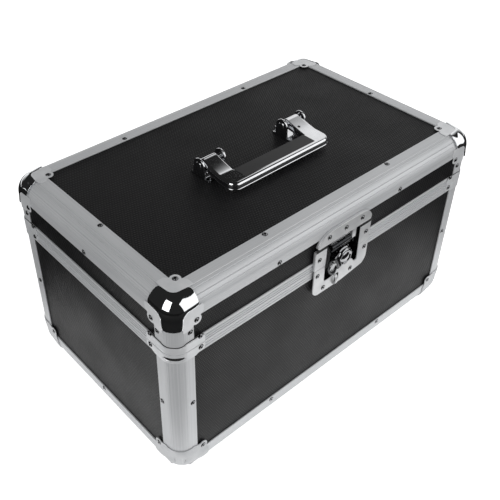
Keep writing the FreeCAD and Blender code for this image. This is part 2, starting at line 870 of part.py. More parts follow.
def hinge_leaf(side, up, own):
    """One leaf with its own knuckles; the other leaf's knuckles are notched out."""
    body = new_body()
    half = S.hinge_wide / 2
    step = S.hinge_wide / LEAF_STEPS
    pad(body, "YZ_Plane", -half, S.hinge_wide, [leaf_outline()])
    notches = []
    knuckles = [body]
    for place in range(LEAF_STEPS):
        start = step * place - half
        if place % 2 == own:
            knuckles.append(prism(14, S.knuckle, step - 0.3, (start + 0.15, S.hinge_out, 0), (1, 0, 0)))
        else:
            notches.append(box((start - 0.15, -0.01, -7.6), (start + step + 0.15, S.hinge_out + 5, 5)))
    start, length = -half - 1, S.hinge_wide + 2
    if up > 0:
        bore = cylinder(S.hinge_pin + 0.05, length, (start, S.hinge_out, 0), (1, 0, 0))
    else:
        seat = S.hinge_pin / math.cos(math.pi / 8) + 0.02
        bore = prism(8, seat, length, (start, S.hinge_out, 0), (1, 0, 0))
    leaf = cut(cut(fuse(knuckles), group(notches)), bore)
    turn = Rotation() if up < 0 else Rotation(Vector(0, 1, 0), 180)
    return locate(leaf, side * S.hinge_x, HALF_DEEP, PARTING, turn)


def make_hinges():
    """Two hinges on the back, each of two leaves and a pin."""
    keep(group([hinge_leaf(side, -1, 0) for side in (-1, 1)]), "hinge_body_leaves")
    keep(group([hinge_leaf(side, 1, 1) for side in (-1, 1)]), "hinge_lid_leaves")
    pins = [cylinder(S.hinge_pin, S.hinge_wide,
                     (side * S.hinge_x - S.hinge_wide / 2, HALF_DEEP + S.hinge_out, PARTING), (1, 0, 0))
            for side in (-1, 1)]
    keep(group(pins), "hinge_pins")


# Handle

PIVOT_Y = S.pivot_back
PIVOT_Z = TOP + S.pivot_high


def ear_outline():
    """A bracket ear from the side: a plate with nearly upright edges and a round top."""
    base = TOP - S.skin
    crown = facets(PIVOT_Y, PIVOT_Z, S.ear_round, 10, 170, 6)
    return [(PIVOT_Y - 9, base), (PIVOT_Y + 9, base)] + crown


def handle_bracket(side):
    """A folded bracket: two ears, a base and a low lip at the front and back that the arm rests on."""
    base = TOP - S.skin
    inner, outer, thick = S.ear_inner, S.ear_outer, S.ear_thick
    ears = []
    for middle in (inner, outer):
        body = new_body()
        pad(body, "YZ_Plane", side * middle - thick / 2, thick, [ear_outline()])
        ears.append(body)
    low_x, high_x = (side * inner, side * outer) if side > 0 else (side * outer, side * inner)
    plate = box((low_x, PIVOT_Y - 14, base), (high_x, PIVOT_Y + 14, base + 1.5))
    lips = [box((low_x + 3, PIVOT_Y + y, base), (high_x - 3, PIVOT_Y + y + 1.5, TOP + S.lip_high))
            for y in (-14, 12.5)]
    seat = S.handle_pin / math.cos(math.pi / 8) + 0.02
    bore = prism(8, seat, 40, (low_x - 5, PIVOT_Y, PIVOT_Z), (1, 0, 0))
    return cut(fuse(ears + [plate] + lips), bore)


def grip_front():
    """The rounded front of the bar from the side, from the top edge round to the underside."""
    front, top = -S.grip_front, TOP + S.grip_top
    low = top - S.grip_thick
    return facets(front + 3.5, top - 3.5, 3.5, 90, 180, 3) + facets(front + 2, low + 2, 2, 180, 270, 2)


def arm_outline():
    """The bail from the side: an eye round the pin, an arm that drops a little, a thick front bar."""
    eye = S.arm_eye
    y, z = PIVOT_Y, PIVOT_Z
    top, low = TOP + S.grip_top, TOP + S.grip_top - S.grip_thick
    return facets(y, z, eye, -86, 106, 8) + [(-S.grip_back + 4, top)] + grip_front() + [
        (-S.grip_back - 1, low), (-S.grip_back + 3, low + 2), (y - 14, z - eye - 1.2)]


def bar_outline():
    """The front bar of the bail from the side."""
    top, low = TOP + S.grip_top, TOP + S.grip_top - S.grip_thick
    return [(-S.grip_back, low), (-S.grip_back, top)] + grip_front()


def make_handle():
    """The brackets, the pins, the bail and its grip inset."""
    keep(group([handle_bracket(side) for side in (-1, 1)]), "handle_brackets")
    pins = []
    for side in (-1, 1):
        near, far = side * (S.ear_inner - 1.9), side * (S.ear_outer + 1.9)
        low, high = (near, far) if side > 0 else (far, near)
        bar = cylinder(S.handle_pin, high - low, (low, PIVOT_Y, PIVOT_Z), (1, 0, 0))
        heads = [prism(10, S.handle_head, 0.9, (end, PIVOT_Y, PIVOT_Z), (1, 0, 0))
                 for end in (low, high - 0.9)]
        pins.append(fuse([bar] + heads))
    keep(group(pins), "handle_pins")
    parts = []
    for low in (-S.arm_outer, S.arm_inner):
        arm = new_body()
        pad(arm, "YZ_Plane", low, S.arm_outer - S.arm_inner, [arm_outline()])
        parts.append(arm)
    bar = new_body()
    pad(bar, "YZ_Plane", -S.arm_outer, S.arm_outer * 2, [bar_outline()])
    parts.append(bar)
    plan = new_body()
    front, side, turn = -S.grip_front, S.arm_outer, S.grip_corner
    back = PIVOT_Y + 20
    left = facets(-side + turn, front + turn, turn, 180, 270, 4)
    right = facets(side - turn, front + turn, turn, 270, 360, 4)
    pad(plan, "XY_Plane", TOP, 40, [left + right + [(side, back), (-side, back)]])
    solid = common([fuse(parts), plan])
    half = S.inset_half
    seat = box((-half, -S.inset_front, TOP + S.grip_top - S.inset_deep), (half, -S.grip_back + 5, TOP + 40))
    hollow = box((-half, -S.grip_front + 3, TOP), (half, -S.grip_back - 3, TOP + S.grip_top - 4))
    bores = [cylinder(S.handle_pin + 0.06, 170, (-85, PIVOT_Y, PIVOT_Z), (1, 0, 0))]
    keep(cut(solid, fuse([seat, hollow] + bores)), "handle_bail")
    pad_box = box((-half + 0.1, -S.inset_front + 0.1, TOP + S.grip_top - S.inset_deep),
                  (half - 0.1, -S.grip_back, TOP + S.grip_top + 0.2))
    keep(pad_box, "handle_grip_inset")


# Latch

DISH_BACK = HALF_DEEP - S.dish_deep
PLATE_FACE = HALF_DEEP + S.latch_proud
PLATE_BACK = PLATE_FACE - S.latch_sheet


def dish_outline(depth):
    """The lower plate: a round corner on the left, a swept one on the right."""
    half = S.latch_half - depth
    low = FLOOR + S.latch_low + depth
    left = facets(-half + 7.5, low + 7.5, 7.5, 180, 270, 4)
    right = facets(half - 14, low + 16, 14, -55, 0, 3)
    return [(-half, BODY_TOP)] + left + [(2, low)] + right + [(half, BODY_TOP)]


def dish_window():
    """The opening of the lower plate: deep on the left for the wing, shallow under the boss."""
    half = S.window_half
    low = FLOOR + S.window_low
    return [
        (-half, BODY_TOP + 1), (-half, low + 3), (-half + 3, low), (-12, low), (-4, low + 8),
        (17, low + 8), (20.5, low + 2), (half, low + 2), (half, BODY_TOP + 1),
    ]


def front_prism(outlines, deep, face):
    """A prism between two depths, both measured outwards from the middle of the case."""
    body = new_body()
    pad(body, "XZ_Plane", deep, face - deep, outlines)
    return body


def make_dish():
    """The lower half of the latch, recessed in the body's front wall."""
    low = FLOOR + S.window_low
    wall = S.dish_wall
    half = S.window_half
    plate = front_prism([dish_outline(0)], PLATE_BACK, PLATE_FACE)
    skirt = cut(front_prism([dish_outline(0)], HALF_DEEP, PLATE_BACK),
                front_prism([dish_outline(S.latch_sheet)], HALF_DEEP - 1, PLATE_BACK + 1))
    below = cut(front_prism([dish_outline(0)], HALF_DEEP - S.skin, HALF_DEEP),
                front_prism([dish_outline(S.latch_sheet)], HALF_DEEP - 3, HALF_DEEP + 1))
    below = cut(below, box((-60, -HALF_DEEP - 5, BODY_BAND - 0.3), (60, -HALF_DEEP + 5, PARTING + 5)))
    well = box((-half - wall, -PLATE_BACK, low - wall), (half + wall, -DISH_BACK, BODY_TOP))
    cavity = box((-half, -PLATE_BACK - 0.01, low), (half, -DISH_BACK - wall, BODY_TOP + 1))
    opening = front_prism([dish_window()], PLATE_BACK - 0.5, PLATE_FACE + 1)
    lug = box((-10, -PLATE_FACE - 3.2, FLOOR + 145), (-4, -PLATE_FACE, FLOOR + 157))
    slot = box((-8, -PLATE_FACE - 4, FLOOR + 147.5), (-6, -PLATE_FACE - 2, FLOOR + 154.5))
    shell = cut(fuse([cut(fuse([plate, skirt, below]), opening), cut(well, cavity)]), cavity)
    keep(cut(fuse([shell, lug]), slot), "latch_dish")
    post_low = low + 0.2
    base = box((-9, -DISH_BACK - wall - 2.2, post_low), (9, -DISH_BACK - wall - 1.0, PARTING + 12))
    seat = box((-9, -DISH_BACK - wall - 1.0, post_low), (9, -DISH_BACK - wall, BODY_TOP - 4))
    stud_long = S.dish_deep + S.latch_proud - 3
    stud = cylinder(S.stud, stud_long, (0, -DISH_BACK - wall - 1.6, PARTING), (0, -1, 0))
    keep(fuse([base, seat, stud]), "latch_pivot_post")


def make_keeper():
    """The upper half of the latch, folded from sheet, with its catch bar."""
    wall, half = S.dish_wall, S.window_half
    high = FLOOR + S.window_high
    side = S.latch_half + 0.5
    flanges = []
    for sign in (-1, 1):
        low_x, high_x = (half - 0.01, side) if sign > 0 else (-side, -half + 0.01)
        flanges.append(box((low_x, -PLATE_FACE, LID_LOW), (high_x, -PLATE_BACK, high - 1.6)))
        edge_x = side - S.latch_sheet if sign > 0 else -side
        flanges.append(box((edge_x, -PLATE_BACK, LID_LOW), (edge_x + S.latch_sheet, -HALF_DEEP, high - 1.6)))
    strip_low = high - 0.4
    strip = front_prism([[
        (-36, strip_low), (38, strip_low), (40, strip_low + 4, 9, 1), (35, strip_low + 10.5),
        (27, strip_low + 15.5), (-22, strip_low + 15.5), (-34.5, strip_low + 8.5, 9, 1),
        (-38, strip_low + 3)]],
        HALF_DEEP, PLATE_FACE + 0.4)
    well = box((-half - wall, -PLATE_BACK, LID_LOW), (half + wall, -DISH_BACK, high + wall))
    cavity = box((-half, -PLATE_FACE - 1, LID_LOW - 1), (half, -DISH_BACK - wall, high))
    bar = box((-14, -DISH_BACK - wall - 3.2, PARTING + 13.5), (14, -DISH_BACK - wall, PARTING + 16.5))
    keep(fuse([cut(fuse(flanges + [strip, well]), cavity), bar]), "latch_keeper")


WING_TURN = 200.0


def on_boss(item):
    """Turns a piece drawn along -X, about the boss axis, to the wing's direction at rest."""
    angle = 180 - WING_TURN
    return locate(item, 0, 0, PARTING, Rotation(Vector(0, 1, 0), angle))


def make_boss():
    """The turning boss with its sleeve and the two lugs that hold the wing's pin."""
    base = PLATE_FACE + 0.2
    crown = HALF_DEEP + S.hinge_out + S.knuckle
    facing_out = (0, -1, 0)
    boss = prism(28, S.boss_round, crown - base, (0, -base, 0), facing_out)
    start = DISH_BACK + S.dish_wall + 2.5
    sleeve = prism(16, S.boss_sleeve, base - start + 0.1, (0, -start, 0), facing_out)
    dimple = prism(20, S.boss_dimple, 5, (0, -crown + 0.8, 0), facing_out)
    lugs = [box((-S.wing_pin_out - 1.8, -base - 2.5, low), (-3, -base, low + 2.2)) for low in (-10.6, 8.4)]
    flat = box((-20, -crown - 1, -8.4), (-S.boss_flat, -base + 0.01, 8.4))
    bore = cylinder(S.stud + 0.06, S.dish_deep + S.latch_proud + 0.4, (0, -DISH_BACK, 0), (0, -1, 0))
    pin_hole = cylinder(S.wing_pin + 0.03, 30, (-S.wing_pin_out, -wing_level(), -15), (0, 0, 1))
    solid = fuse([boss, sleeve] + lugs)
    keep(on_boss(cut(solid, fuse([flat, bore, pin_hole, dimple]))), "latch_boss")
    pin = cylinder(S.wing_pin, 21.2, (-S.wing_pin_out, -wing_level(), -10.6), (0, 0, 1))
    keep(on_boss(pin), "latch_wing_pin")


def wing_level():
    """How far out the wing's pin lies from the middle of the case."""
    return PLATE_FACE + 0.3 + S.wing_eye


def make_wing():
    """The folding thumb wing: an eye round the pin and a heart-shaped plate with a pressed ring."""
    out, tip = S.wing_pin_out, S.wing_tip
    level = wing_level()
    plate = new_body()
    half = as_size(8)
    pad(plate, "XZ_Plane", level - S.wing_thick / 2, S.wing_thick, [[
        (-out, -half), (-out, half), (-out - 3, half), (-out - 5.5, 11), (-out - 8, 11.6), (-tip + 3.5, 9.4),
        (-tip + 1.2, 6), (-tip + 0.3, 2.5), (-tip, 0), (-tip + 0.3, -2.5), (-tip + 1.2, -6),
        (-tip + 3.5, -9.4), (-out - 8, -11.6), (-out - 5.5, -11), (-out - 3, -half)]])
    dimple = prism(16, 4.0, 5, (-tip + 7.5, -level - S.wing_thick / 2 + 0.5, 0), (0, -1, 0))
    eye = prism(12, S.wing_eye, 16, (-out, -level, -8), (0, 0, 1))
    bore = cylinder(S.wing_pin + 0.06, 20, (-out, -level, -10), (0, 0, 1))
    keep(on_boss(cut(fuse([plate, eye]), fuse([bore, dimple]))), "latch_wing")


def make_hook():
    """The sliding hook plate, with a slot round the sleeve and a claw over the catch bar."""
    front = -HALF_DEEP + 0.3
    lift = S.hook_lift
    plate = box((-13, front, PARTING - 12), (13, front + 1.6, PARTING + 20))
    claw = box((-15, front, PARTING + 12.5), (15, front + 7.0, PARTING + 21))
    relief = box((-12.5, front - 1, PARTING + 15), (12.5, front + 0.9, PARTING + 18))
    slot = box((-5.6, front - 1, PARTING - 5.6 - lift), (5.6, front + 3, PARTING + 5.6))
    under = box((-16, front + 1.6, PARTING + 12), (16, front + 5.6, PARTING + 18.5))
    keep(cut(fuse([plate, claw]), fuse([relief, slot, under])), "latch_hook")


make_panels()
make_edges()
make_rims()
make_braces()
make_linings()
make_corners()
make_rivets()
make_feet()
make_hinges()
make_handle()
make_dish()
make_keeper()
make_boss()
make_wing()
make_hook()

DOC.recompute()
for item in DOC.Objects:
    if "Invalid" in item.State or "Error" in item.State:
        raise ValueError(f"{item.Label} failed: {item.State}")
for item in SUB_PARTS:
    if item.Shape.isNull() or not item.Shape.isValid():
        raise ValueError(f"{item.Label} has a bad shape")
os.makedirs("parts", exist_ok=True)
for item in SUB_PARTS:
    item.Shape.exportStep(f"parts/{item.Label}.step")
print(len(SUB_PARTS), "sub-parts")
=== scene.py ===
import math

import bmesh
import bpy
import numpy as np
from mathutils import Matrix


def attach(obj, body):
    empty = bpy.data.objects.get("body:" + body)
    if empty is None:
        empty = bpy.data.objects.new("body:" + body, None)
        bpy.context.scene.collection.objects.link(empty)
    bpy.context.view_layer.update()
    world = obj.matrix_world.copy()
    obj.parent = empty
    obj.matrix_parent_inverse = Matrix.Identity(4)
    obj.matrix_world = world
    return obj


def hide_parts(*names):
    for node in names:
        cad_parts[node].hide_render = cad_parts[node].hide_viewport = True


# A record carrying case in a small photo studio. Shapes are in millimetres here, in the frame
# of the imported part, and go into the meshes in metres.

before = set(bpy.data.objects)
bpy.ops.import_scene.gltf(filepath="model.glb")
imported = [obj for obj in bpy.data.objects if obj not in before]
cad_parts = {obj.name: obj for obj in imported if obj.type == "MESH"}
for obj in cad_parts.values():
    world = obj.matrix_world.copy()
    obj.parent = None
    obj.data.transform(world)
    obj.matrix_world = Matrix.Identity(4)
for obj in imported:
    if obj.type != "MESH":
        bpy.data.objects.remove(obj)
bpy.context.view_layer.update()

MM = 0.001
HALF_LONG, HALF_DEEP = 215.0, 131.5
HALF = np.array([HALF_LONG, HALF_DEEP])
FLOOR, TOP, PARTING = 5.0, 242.0, 182.5
RIM_GAP = 0.3
BODY_TOP, LID_LOW = PARTING - RIM_GAP, PARTING + RIM_GAP
BODY_BAND, LID_BAND = 171.7, 192.0  # where the rims end and the boards begin
BEND, FLANGE, SKIN = 16.0, 24.5, 1.5  # an extrusion's corner radius, width and thickness
BOARD_IN, LINING_OUT, LEG_END = 7.5, 8.7, 22.0  # a board's inner face, and the inner legs
CORNERS = np.array([(-1, -1), (1, -1), (1, 1), (-1, 1)], float)

# Drawing planes: each row says where u, v and w of a drawing point in the case's own axes.
FLAT = np.eye(3)
FRONT = np.array([[1, 0, 0], [0, 0, 1], [0, -1, 0]], float)
SIDE = np.array([[0, 1, 0], [0, 0, 1], [1, 0, 0]], float)

# Three ways to name the axes in turn, for a shape that repeats on three faces.
CYCLES = ([0, 1, 2], [2, 0, 1], [1, 2, 0])


# Surfaces


def quads(rows, columns, wrap=False):
    """Four-sided faces between neighbours of a grid whose points are numbered row by row."""
    i, j = np.meshgrid(np.arange(rows - 1), np.arange(columns - (not wrap)), indexing="ij")
    here, below, beside = i * columns, (i + 1) * columns, (j + 1) % columns
    return np.stack([here + j, below + j, below + beside, here + beside], -1).reshape(-1, 4).tolist()


def patch(points):
    """An open sheet through a grid of points."""
    return points.reshape(-1, 3), quads(*points.shape[:2])


def skin(rings):
    """A closed form through rings of points in order, with a flat face over each end."""
    rows, columns = rings.shape[:2]
    ends = [list(range(columns))[::-1], list(range((rows - 1) * columns, rows * columns))]
    return rings.reshape(-1, 3), quads(rows, columns, wrap=True) + ends


def join(forms):
    """Several forms as one set of points, faces and grain."""
    points, faces, grain, start = [], [], [], 0
    for form in forms:
        points.append(form[0])
        faces += [[corner + start for corner in face] for face in form[1]]
        grain.append(form[2] if len(form) > 2 else np.zeros((len(form[0]), 3)))
        start += len(form[0])
    return np.concatenate(points), faces, np.concatenate(grain)


def chain(*parts):
    """Rows of several lists as one."""
    return np.concatenate(parts)


def walked(points):
    """How far each point lies along the line of points."""
    return chain([0], np.linalg.norm(np.diff(points, axis=0), axis=1).cumsum())


def rectangle(u0, v0, u1, v1):
    """Four corners, from the lowest one."""
    return [(u0, v0), (u1, v0), (u1, v1), (u0, v1)]


def flipped(points):
    """The points mirrored about the diagonal, last one first."""
    return [(v, u) for u, v in points[::-1]]


def softened(corners, reach, steps=4):
    """Each corner P becomes the curve (1-t)^2 A + 2t(1-t) P + t^2 B, from A to B at the given reach
    along its two sides."""
    corners = np.asarray(corners, float)
    reach = np.broadcast_to(np.asarray(reach, float), len(corners))[:, None]
    ends = []
    for turn in (1, -1):
        side = np.roll(corners, turn, 0) - corners
        far = np.linalg.norm(side, axis=1, keepdims=True)
        ends.append((corners + side / far * np.minimum(reach, far * 0.49))[:, None])
    t = np.linspace(0, 1, steps + 1)[None, :, None]
    curve = (1 - t) ** 2 * ends[0] + 2 * t * (1 - t) * corners[:, None] + t ** 2 * ends[1]
    curve = curve.reshape(-1, corners.shape[1])
    return curve[np.linalg.norm(curve - np.roll(curve, 1, 0), axis=1) > 1e-4]


def counterclockwise(outline):
    """The outline, turned round if it runs clockwise."""
    u, v = outline.T
    area = (u * np.roll(v, -1) - np.roll(u, -1) * v).sum()
    return outline if area > 0 else outline[::-1]


def inward(outline, distance):
    """Each point moves along the bisector of its two sides' normals, n1 + n2 over 1 + n1.n2."""
    along = np.roll(outline, -1, 0) - outline
    normal = np.stack([-along[:, 1], along[:, 0]], 1) / np.linalg.norm(along, axis=1, keepdims=True)
    before = np.roll(normal, 1, 0)
    spread = np.maximum(1 + (normal * before).sum(1, keepdims=True), 0.35)
    return outline + distance * (normal + before) / spread


def layers(outline, steps):
    """Rings of an outline, each drawn in by the first and raised to the second of its numbers."""
    return np.stack([np.column_stack([inward(outline, d), np.full(len(outline), w)]) for d, w in steps])


def slab(outline, low, high, edge=0.35, place=FLAT, steps=3):
    """A plate between two levels. Near each face its outline draws in by edge*(1 - sin t) and
    rises by edge*(1 - cos t). One more ring 0.15 mm further in keeps the face flat."""
    turn = np.linspace(0, math.pi / 2, steps + 1)
    draw, rise = edge * (1 - np.sin(turn)), edge * (1 - np.cos(turn))
    draw = chain([edge + 0.15], draw, draw[::-1], [edge + 0.15])
    level = chain([low], low + rise, high - rise[::-1], [high])
    return skin(layers(counterclockwise(np.asarray(outline, float)), zip(draw, level)) @ place)


def block(low, high, edge=0.3):
    """A box with rounded corners and edges."""
    (x0, y0, z0), (x1, y1, z1) = low, high
    return slab(softened(rectangle(x0, y0, x1, y1), edge, 3), z0, z1, edge)


def turned(profile, sides=32):
    """A profile of (radius, height) carried once round the third axis: (r cos a, r sin a, h)."""
    profile = np.asarray(profile, float)
    angle = np.arange(sides) * 2 * math.pi / sides
    ring = np.stack([np.cos(angle), np.sin(angle), np.zeros(sides)], 1)
    points, faces = skin(profile[:, None, :1] * ring + profile[:, None, 1:] * np.array([0, 0, 1.0]))
    return points, faces, np.repeat(np.column_stack([profile, np.zeros(len(profile))]), sides, axis=0)


def stood(form, at, direction=(0, 0, 1)):
    """The form with its third axis turned to a direction, at a point."""
    last = np.asarray(direction, float)
    last = last / np.linalg.norm(last)
    helper = np.array([1.0, 0, 0]) if abs(last[2]) > 0.9 else np.array([0, 0, 1.0])
    first = np.cross(helper, last)
    first /= np.linalg.norm(first)
    turn = np.stack([first, np.cross(last, first), last])
    return (form[0] @ turn + np.asarray(at, float),) + tuple(form[1:])


def rod(radius, start, end, edge=0.3, sides=24):
    """A round bar with softened ends between two points."""
    start, end = np.asarray(start, float), np.asarray(end, float)
    length = np.linalg.norm(end - start)
    half = [(radius - edge, 0), (radius - edge * 0.3, edge * 0.3), (radius, edge)]
    profile = half + [(r, length - h) for r, h in half[::-1]]
    return stood(turned(profile, sides), start, end - start)


def arc(x, y, radius, start, end, count):
    """Points on a circle between two angles in degrees."""
    angle = np.radians(np.linspace(start, end, count + 1))
    return np.stack([x + radius * np.cos(angle), y + radius * np.sin(angle)], 1)


def facing_out(form, inside):
    """Turns each face so that its normal points away from a point inside."""
    points, faces = form[0], np.array(form[1])
    corner = points[faces]
    normal = np.cross(corner[:, 2] - corner[:, 0], corner[:, 3] - corner[:, 1])
    wrong = (normal * (corner.mean(1) - inside)).sum(1) < 0
    faces[wrong] = faces[wrong][:, ::-1]
    return (points, faces.tolist()) + tuple(form[2:])


# Materials


def linear(code):
    """An sRGB hex colour as linear red, green, blue and alpha."""
    value = np.array([int(code[place:place + 2], 16) for place in (1, 3, 5)]) / 255
    value = np.where(value <= 0.04045, value / 12.92, ((value + 0.055) / 1.055) ** 2.4)
    return (*value.tolist(), 1.0)


def add(tree, kind, inputs=None, **settings):
    """Adds a node. Each input is a number or colour, or the output socket it is linked to."""
    node = tree.nodes.new("ShaderNode" + kind)
    for key, value in settings.items():
        setattr(node, key, value)
    for key, value in (inputs or {}).items():
        if isinstance(value, bpy.types.NodeSocket):
            tree.links.new(value, node.inputs[key])
        else:
            node.inputs[key].default_value = value
    return node


def blank(title, kind="materials"):
    """A new material or world, and its empty node tree."""
    made = getattr(bpy.data, kind).new(title)
    made.use_nodes = True
    made.node_tree.nodes.clear()
    return made, made.node_tree


def surface(material, inputs):
    """The material with its one shader."""
    shader = add(material.node_tree, "BsdfPrincipled", inputs)
    add(material.node_tree, "OutputMaterial", {"Surface": shader.outputs["BSDF"]})
    return material


def maths(tree, operation, *values):
    """A sum, product or function of numbers."""
    return add(tree, "Math", dict(enumerate(values)), operation=operation).outputs[0]


def split(tree, vector):
    """The three parts of a vector."""
    return add(tree, "SeparateXYZ", {0: vector}).outputs


def blend(tree, share, first, second):
    """A number between two numbers."""
    return add(tree, "Mix", {0: share, 2: first, 3: second}).outputs[0]


def noise(tree, vector, size, detail=2.0, stretch=(1, 1, 1)):
    """Smooth noise whose grains are about the size in the units of the vector."""
    place = add(tree, "Mapping", {"Vector": vector, "Scale": tuple(s / size for s in stretch)})
    return add(tree, "TexNoise", {"Vector": place.outputs[0], "Scale": 1.0, "Detail": detail}).outputs[0]


def between(tree, value, low, high, start=0.3, end=0.7):
    """The value's range start to end, stretched to low to high."""
    return add(tree, "MapRange", {"Value": value, "From Min": start, "From Max": end,
                                  "To Min": low, "To Max": high}).outputs[0]


def shade(tree, share, dark, light):
    """A colour between two hex colours."""
    return add(tree, "Mix", {0: share, 6: linear(dark), 7: linear(light)}, data_type="RGBA").outputs[2]


def raised(tree, height, depth_mm):
    """A bump of a depth in millimetres."""
    return add(tree, "Bump", {"Height": height, "Distance": depth_mm * MM}).outputs[0]


def object_place(tree):
    """The piece's own coordinates in millimetres."""
    place = add(tree, "TexCoord").outputs["Object"]
    return add(tree, "VectorMath", {0: place, "Scale": 1 / MM}, operation="SCALE").outputs[0]


def grain_place(tree):
    """The piece's own grain: along the metal, across it, and one number a length."""
    return add(tree, "Attribute", attribute_name="grain").outputs["Vector"]


PIP_ROWS = 2.6


def laminate():
    """Black laminate on plywood, hot pressed with rows of fine pips in a honeycomb: dull, with a
    soft shine on the pips' slopes. Real pips are 1.2 mm apart and are drawn at 2.6 mm, so that they
    show. Across a face the pattern is the sum of three cosine waves, 60 degrees apart."""
    material, tree = blank("pressed_black_laminate")
    place = object_place(tree)
    x, y, z = split(tree, place)
    facing = split(tree, add(tree, "TexCoord").outputs["Normal"])
    u = blend(tree, maths(tree, "ABSOLUTE", facing[0]), x, y)
    v = blend(tree, maths(tree, "ABSOLUTE", facing[2]), z, y)
    total, rate = 0.0, 2 * math.pi / PIP_ROWS
    for turn in np.radians([30, 90, 150]):
        across = maths(tree, "MULTIPLY", u, math.cos(turn) * rate)
        phase = maths(tree, "MULTIPLY_ADD", v, math.sin(turn) * rate, across)
        total = maths(tree, "ADD", total, maths(tree, "COSINE", phase))
    pips = between(tree, total, 0.0, 1.0, -1.2, 2.2)
    cloud, fleck = noise(tree, place, 60.0), noise(tree, place, 2.2, 3.0)
    tint = maths(tree, "ADD", pips, between(tree, fleck, 0.0, 0.4))
    return surface(material, {
        "Base Color": shade(tree, between(tree, tint, 0.0, 1.0, 0.1, 1.2), "#101011", "#212122"),
        "Roughness": between(tree, cloud, 0.40, 0.50), "Specular IOR Level": 0.13,
        "Normal": raised(tree, pips, 0.16)})


def aluminium():
    """Extruded aluminium, satin anodised: pale grey, with faint lengthwise draw lines that blur
    reflections along the bar. Its oxide layer scatters a part of the light, so it isn't all metal."""
    material, tree = blank("anodised_aluminium")
    grain = grain_place(tree)
    lines = noise(tree, grain, 1.0, 4.0, (0.0006, 1.1, 1))
    both = blend(tree, 0.3, lines, noise(tree, grain, 40.0, 2.0, (0.3, 1.0, 1)))
    return surface(material, {
        "Base Color": shade(tree, between(tree, both, 0, 1, 0.35, 0.65), "#b5b7b9", "#cdced0"),
        "Metallic": 0.42, "Roughness": between(tree, lines, 0.44, 0.54), "Normal": raised(tree, lines, 0.02)})


def chrome():
    """Mirror chrome plate on pressed steel: a sharp dark mirror with a trace of fingerprints."""
    material, tree = blank("chrome_plate")
    smear = noise(tree, object_place(tree), 9.0, 3.0)
    return surface(material, {"Base Color": linear("#dfe1e3"), "Metallic": 1.0,
                              "Roughness": between(tree, smear, 0.03, 0.075)})


def grainy(title, dark, light, low, high, grain, depth, metallic=0.0, cloud=0.0):
    """Plated metal: even grey with a very fine mottle from the plating bath and slow clouds of
    tint. A satin bath leaves a milky layer that scatters a part of the light. Without clouds,
    moulded plastic or rubber, where the fine pits of the mould carry the tint."""
    material, tree = blank(title)
    place = object_place(tree)
    pits = noise(tree, place, grain, 3.0)
    tint = noise(tree, place, cloud) if cloud else pits
    return surface(material, {
        "Base Color": shade(tree, between(tree, tint, 0, 1), dark, light), "Metallic": metallic,
        "Roughness": between(tree, pits, low, high), "Normal": raised(tree, pits, depth)})


def rivet_finish_with_painted_shade():
    """Blind rivets: a polished rolled ring, with painted shade in the groove round it and in the hole that
    the mandrel leaves. The grain's first number is the distance from the rivet's middle."""
    material, tree = blank("blind_rivet_steel_painted_shade")
    radius = split(tree, grain_place(tree))[0]
    # Painted shade: the mandrel's hole and the groove round the ring are coloured near black.
    hole = between(tree, radius, 0, 1, 0.9, 1.25)
    groove = between(tree, radius, 1, 0, 2.15, 2.5)
    ring = maths(tree, "MULTIPLY", hole, groove)
    return surface(material, {"Base Color": shade(tree, ring, "#080809", "#9c9d9f"), "Metallic": 1.0,
                              "Roughness": between(tree, noise(tree, object_place(tree), 1.2), 0.12, 0.2)})


def felt():
    """Short black felt glued inside: no gloss, a light bloom at grazing angles, a crossing of
    loose fibres."""
    material, tree = blank("black_felt")
    place = object_place(tree)
    fibres = noise(tree, place, 0.8, 5.0)
    both = blend(tree, 0.4, fibres, noise(tree, place, 6.0, 3.0))
    return surface(material, {
        "Base Color": shade(tree, between(tree, both, 0, 1, 0.35, 0.65), "#101011", "#2b2b2d"),
        "Roughness": 0.95, "Sheen Weight": 0.4, "Sheen Roughness": 0.5,
        "Normal": raised(tree, fibres, 0.35)})


# Each finish but the laminate is a material with the record's slot that it belongs to.
LAMINATE = laminate()
ALUMINIUM, CHROME = (aluminium(), "aluminium"), (chrome(), "chrome")
RIVET, FELT = (rivet_finish_with_painted_shade(), "rivet_steel"), (felt(), "lining")
# Nickel on the corners' flanges and the braces: a pale satin.
SATIN = grainy("satin_nickel_sheet", "#c8cacc", "#d6d7d9", 0.34, 0.42, 0.9, 0.003, 0.4, 14), "satin_steel"
# Painted shade: the satin nickel a little darker on the base corners, which sit low over the pale floor.
SHADED_SATIN = grainy("satin_nickel_painted_shade", "#acaeb0", "#bcbdbf", 0.36, 0.46, 0.9, 0.003, 0.4, 14), "satin_steel"
# Zinc on the latch plates and hinges: cooler and a little shinier.
ZINC = grainy("zinc_plated_sheet", "#c0c1c3", "#d0d1d2", 0.32, 0.40, 0.9, 0.003, 0.6, 14), "zinc_steel"
# The handle's polished nickel, and a darker copy of it, painted shade for the dark reflections of the latch's
# boss, wing ring and hook.
BRIGHT = grainy("bright_nickel_casting", "#d2d3d5", "#dddee0", 0.06, 0.09, 4, 0.0006, 1, 14), "plated_steel"
SHADED_CHROME = grainy("polished_chrome_painted_dark", "#97989a", "#a6a7a9", 0.05, 0.09, 4, 0.0006, 1, 14), "zinc_steel"
# Painted shade: a dark nickel that keeps the latch's dish, the wing and the hook's beads dark with a broad
# dull gleam.
SHADE = grainy("nickel_sheet_painted_shade", "#3a3b3d", "#4c4d4f", 0.18, 0.34, 1.2, 0.003, 1, 14), "zinc_steel"
# The grip's plastic has a soft sheen. The feet are dull rubber; the same dull black is painted shade in the
# shadow lines, slots and hole.
BLACK = grainy("moulded_black_plastic", "#131314", "#1c1c1d", 0.34, 0.46, 0.7, 0.02), "black_plastic"
RUBBER_AND_SHADE = grainy("black_rubber_and_painted_shade", "#161616", "#222222", 0.75, 0.9, 0.9, 0.06), "rubber"


def shown(title, data):
    """A new object in the scene."""
    item = bpy.data.objects.new(title, data)
    bpy.context.scene.collection.objects.link(item)
    return item


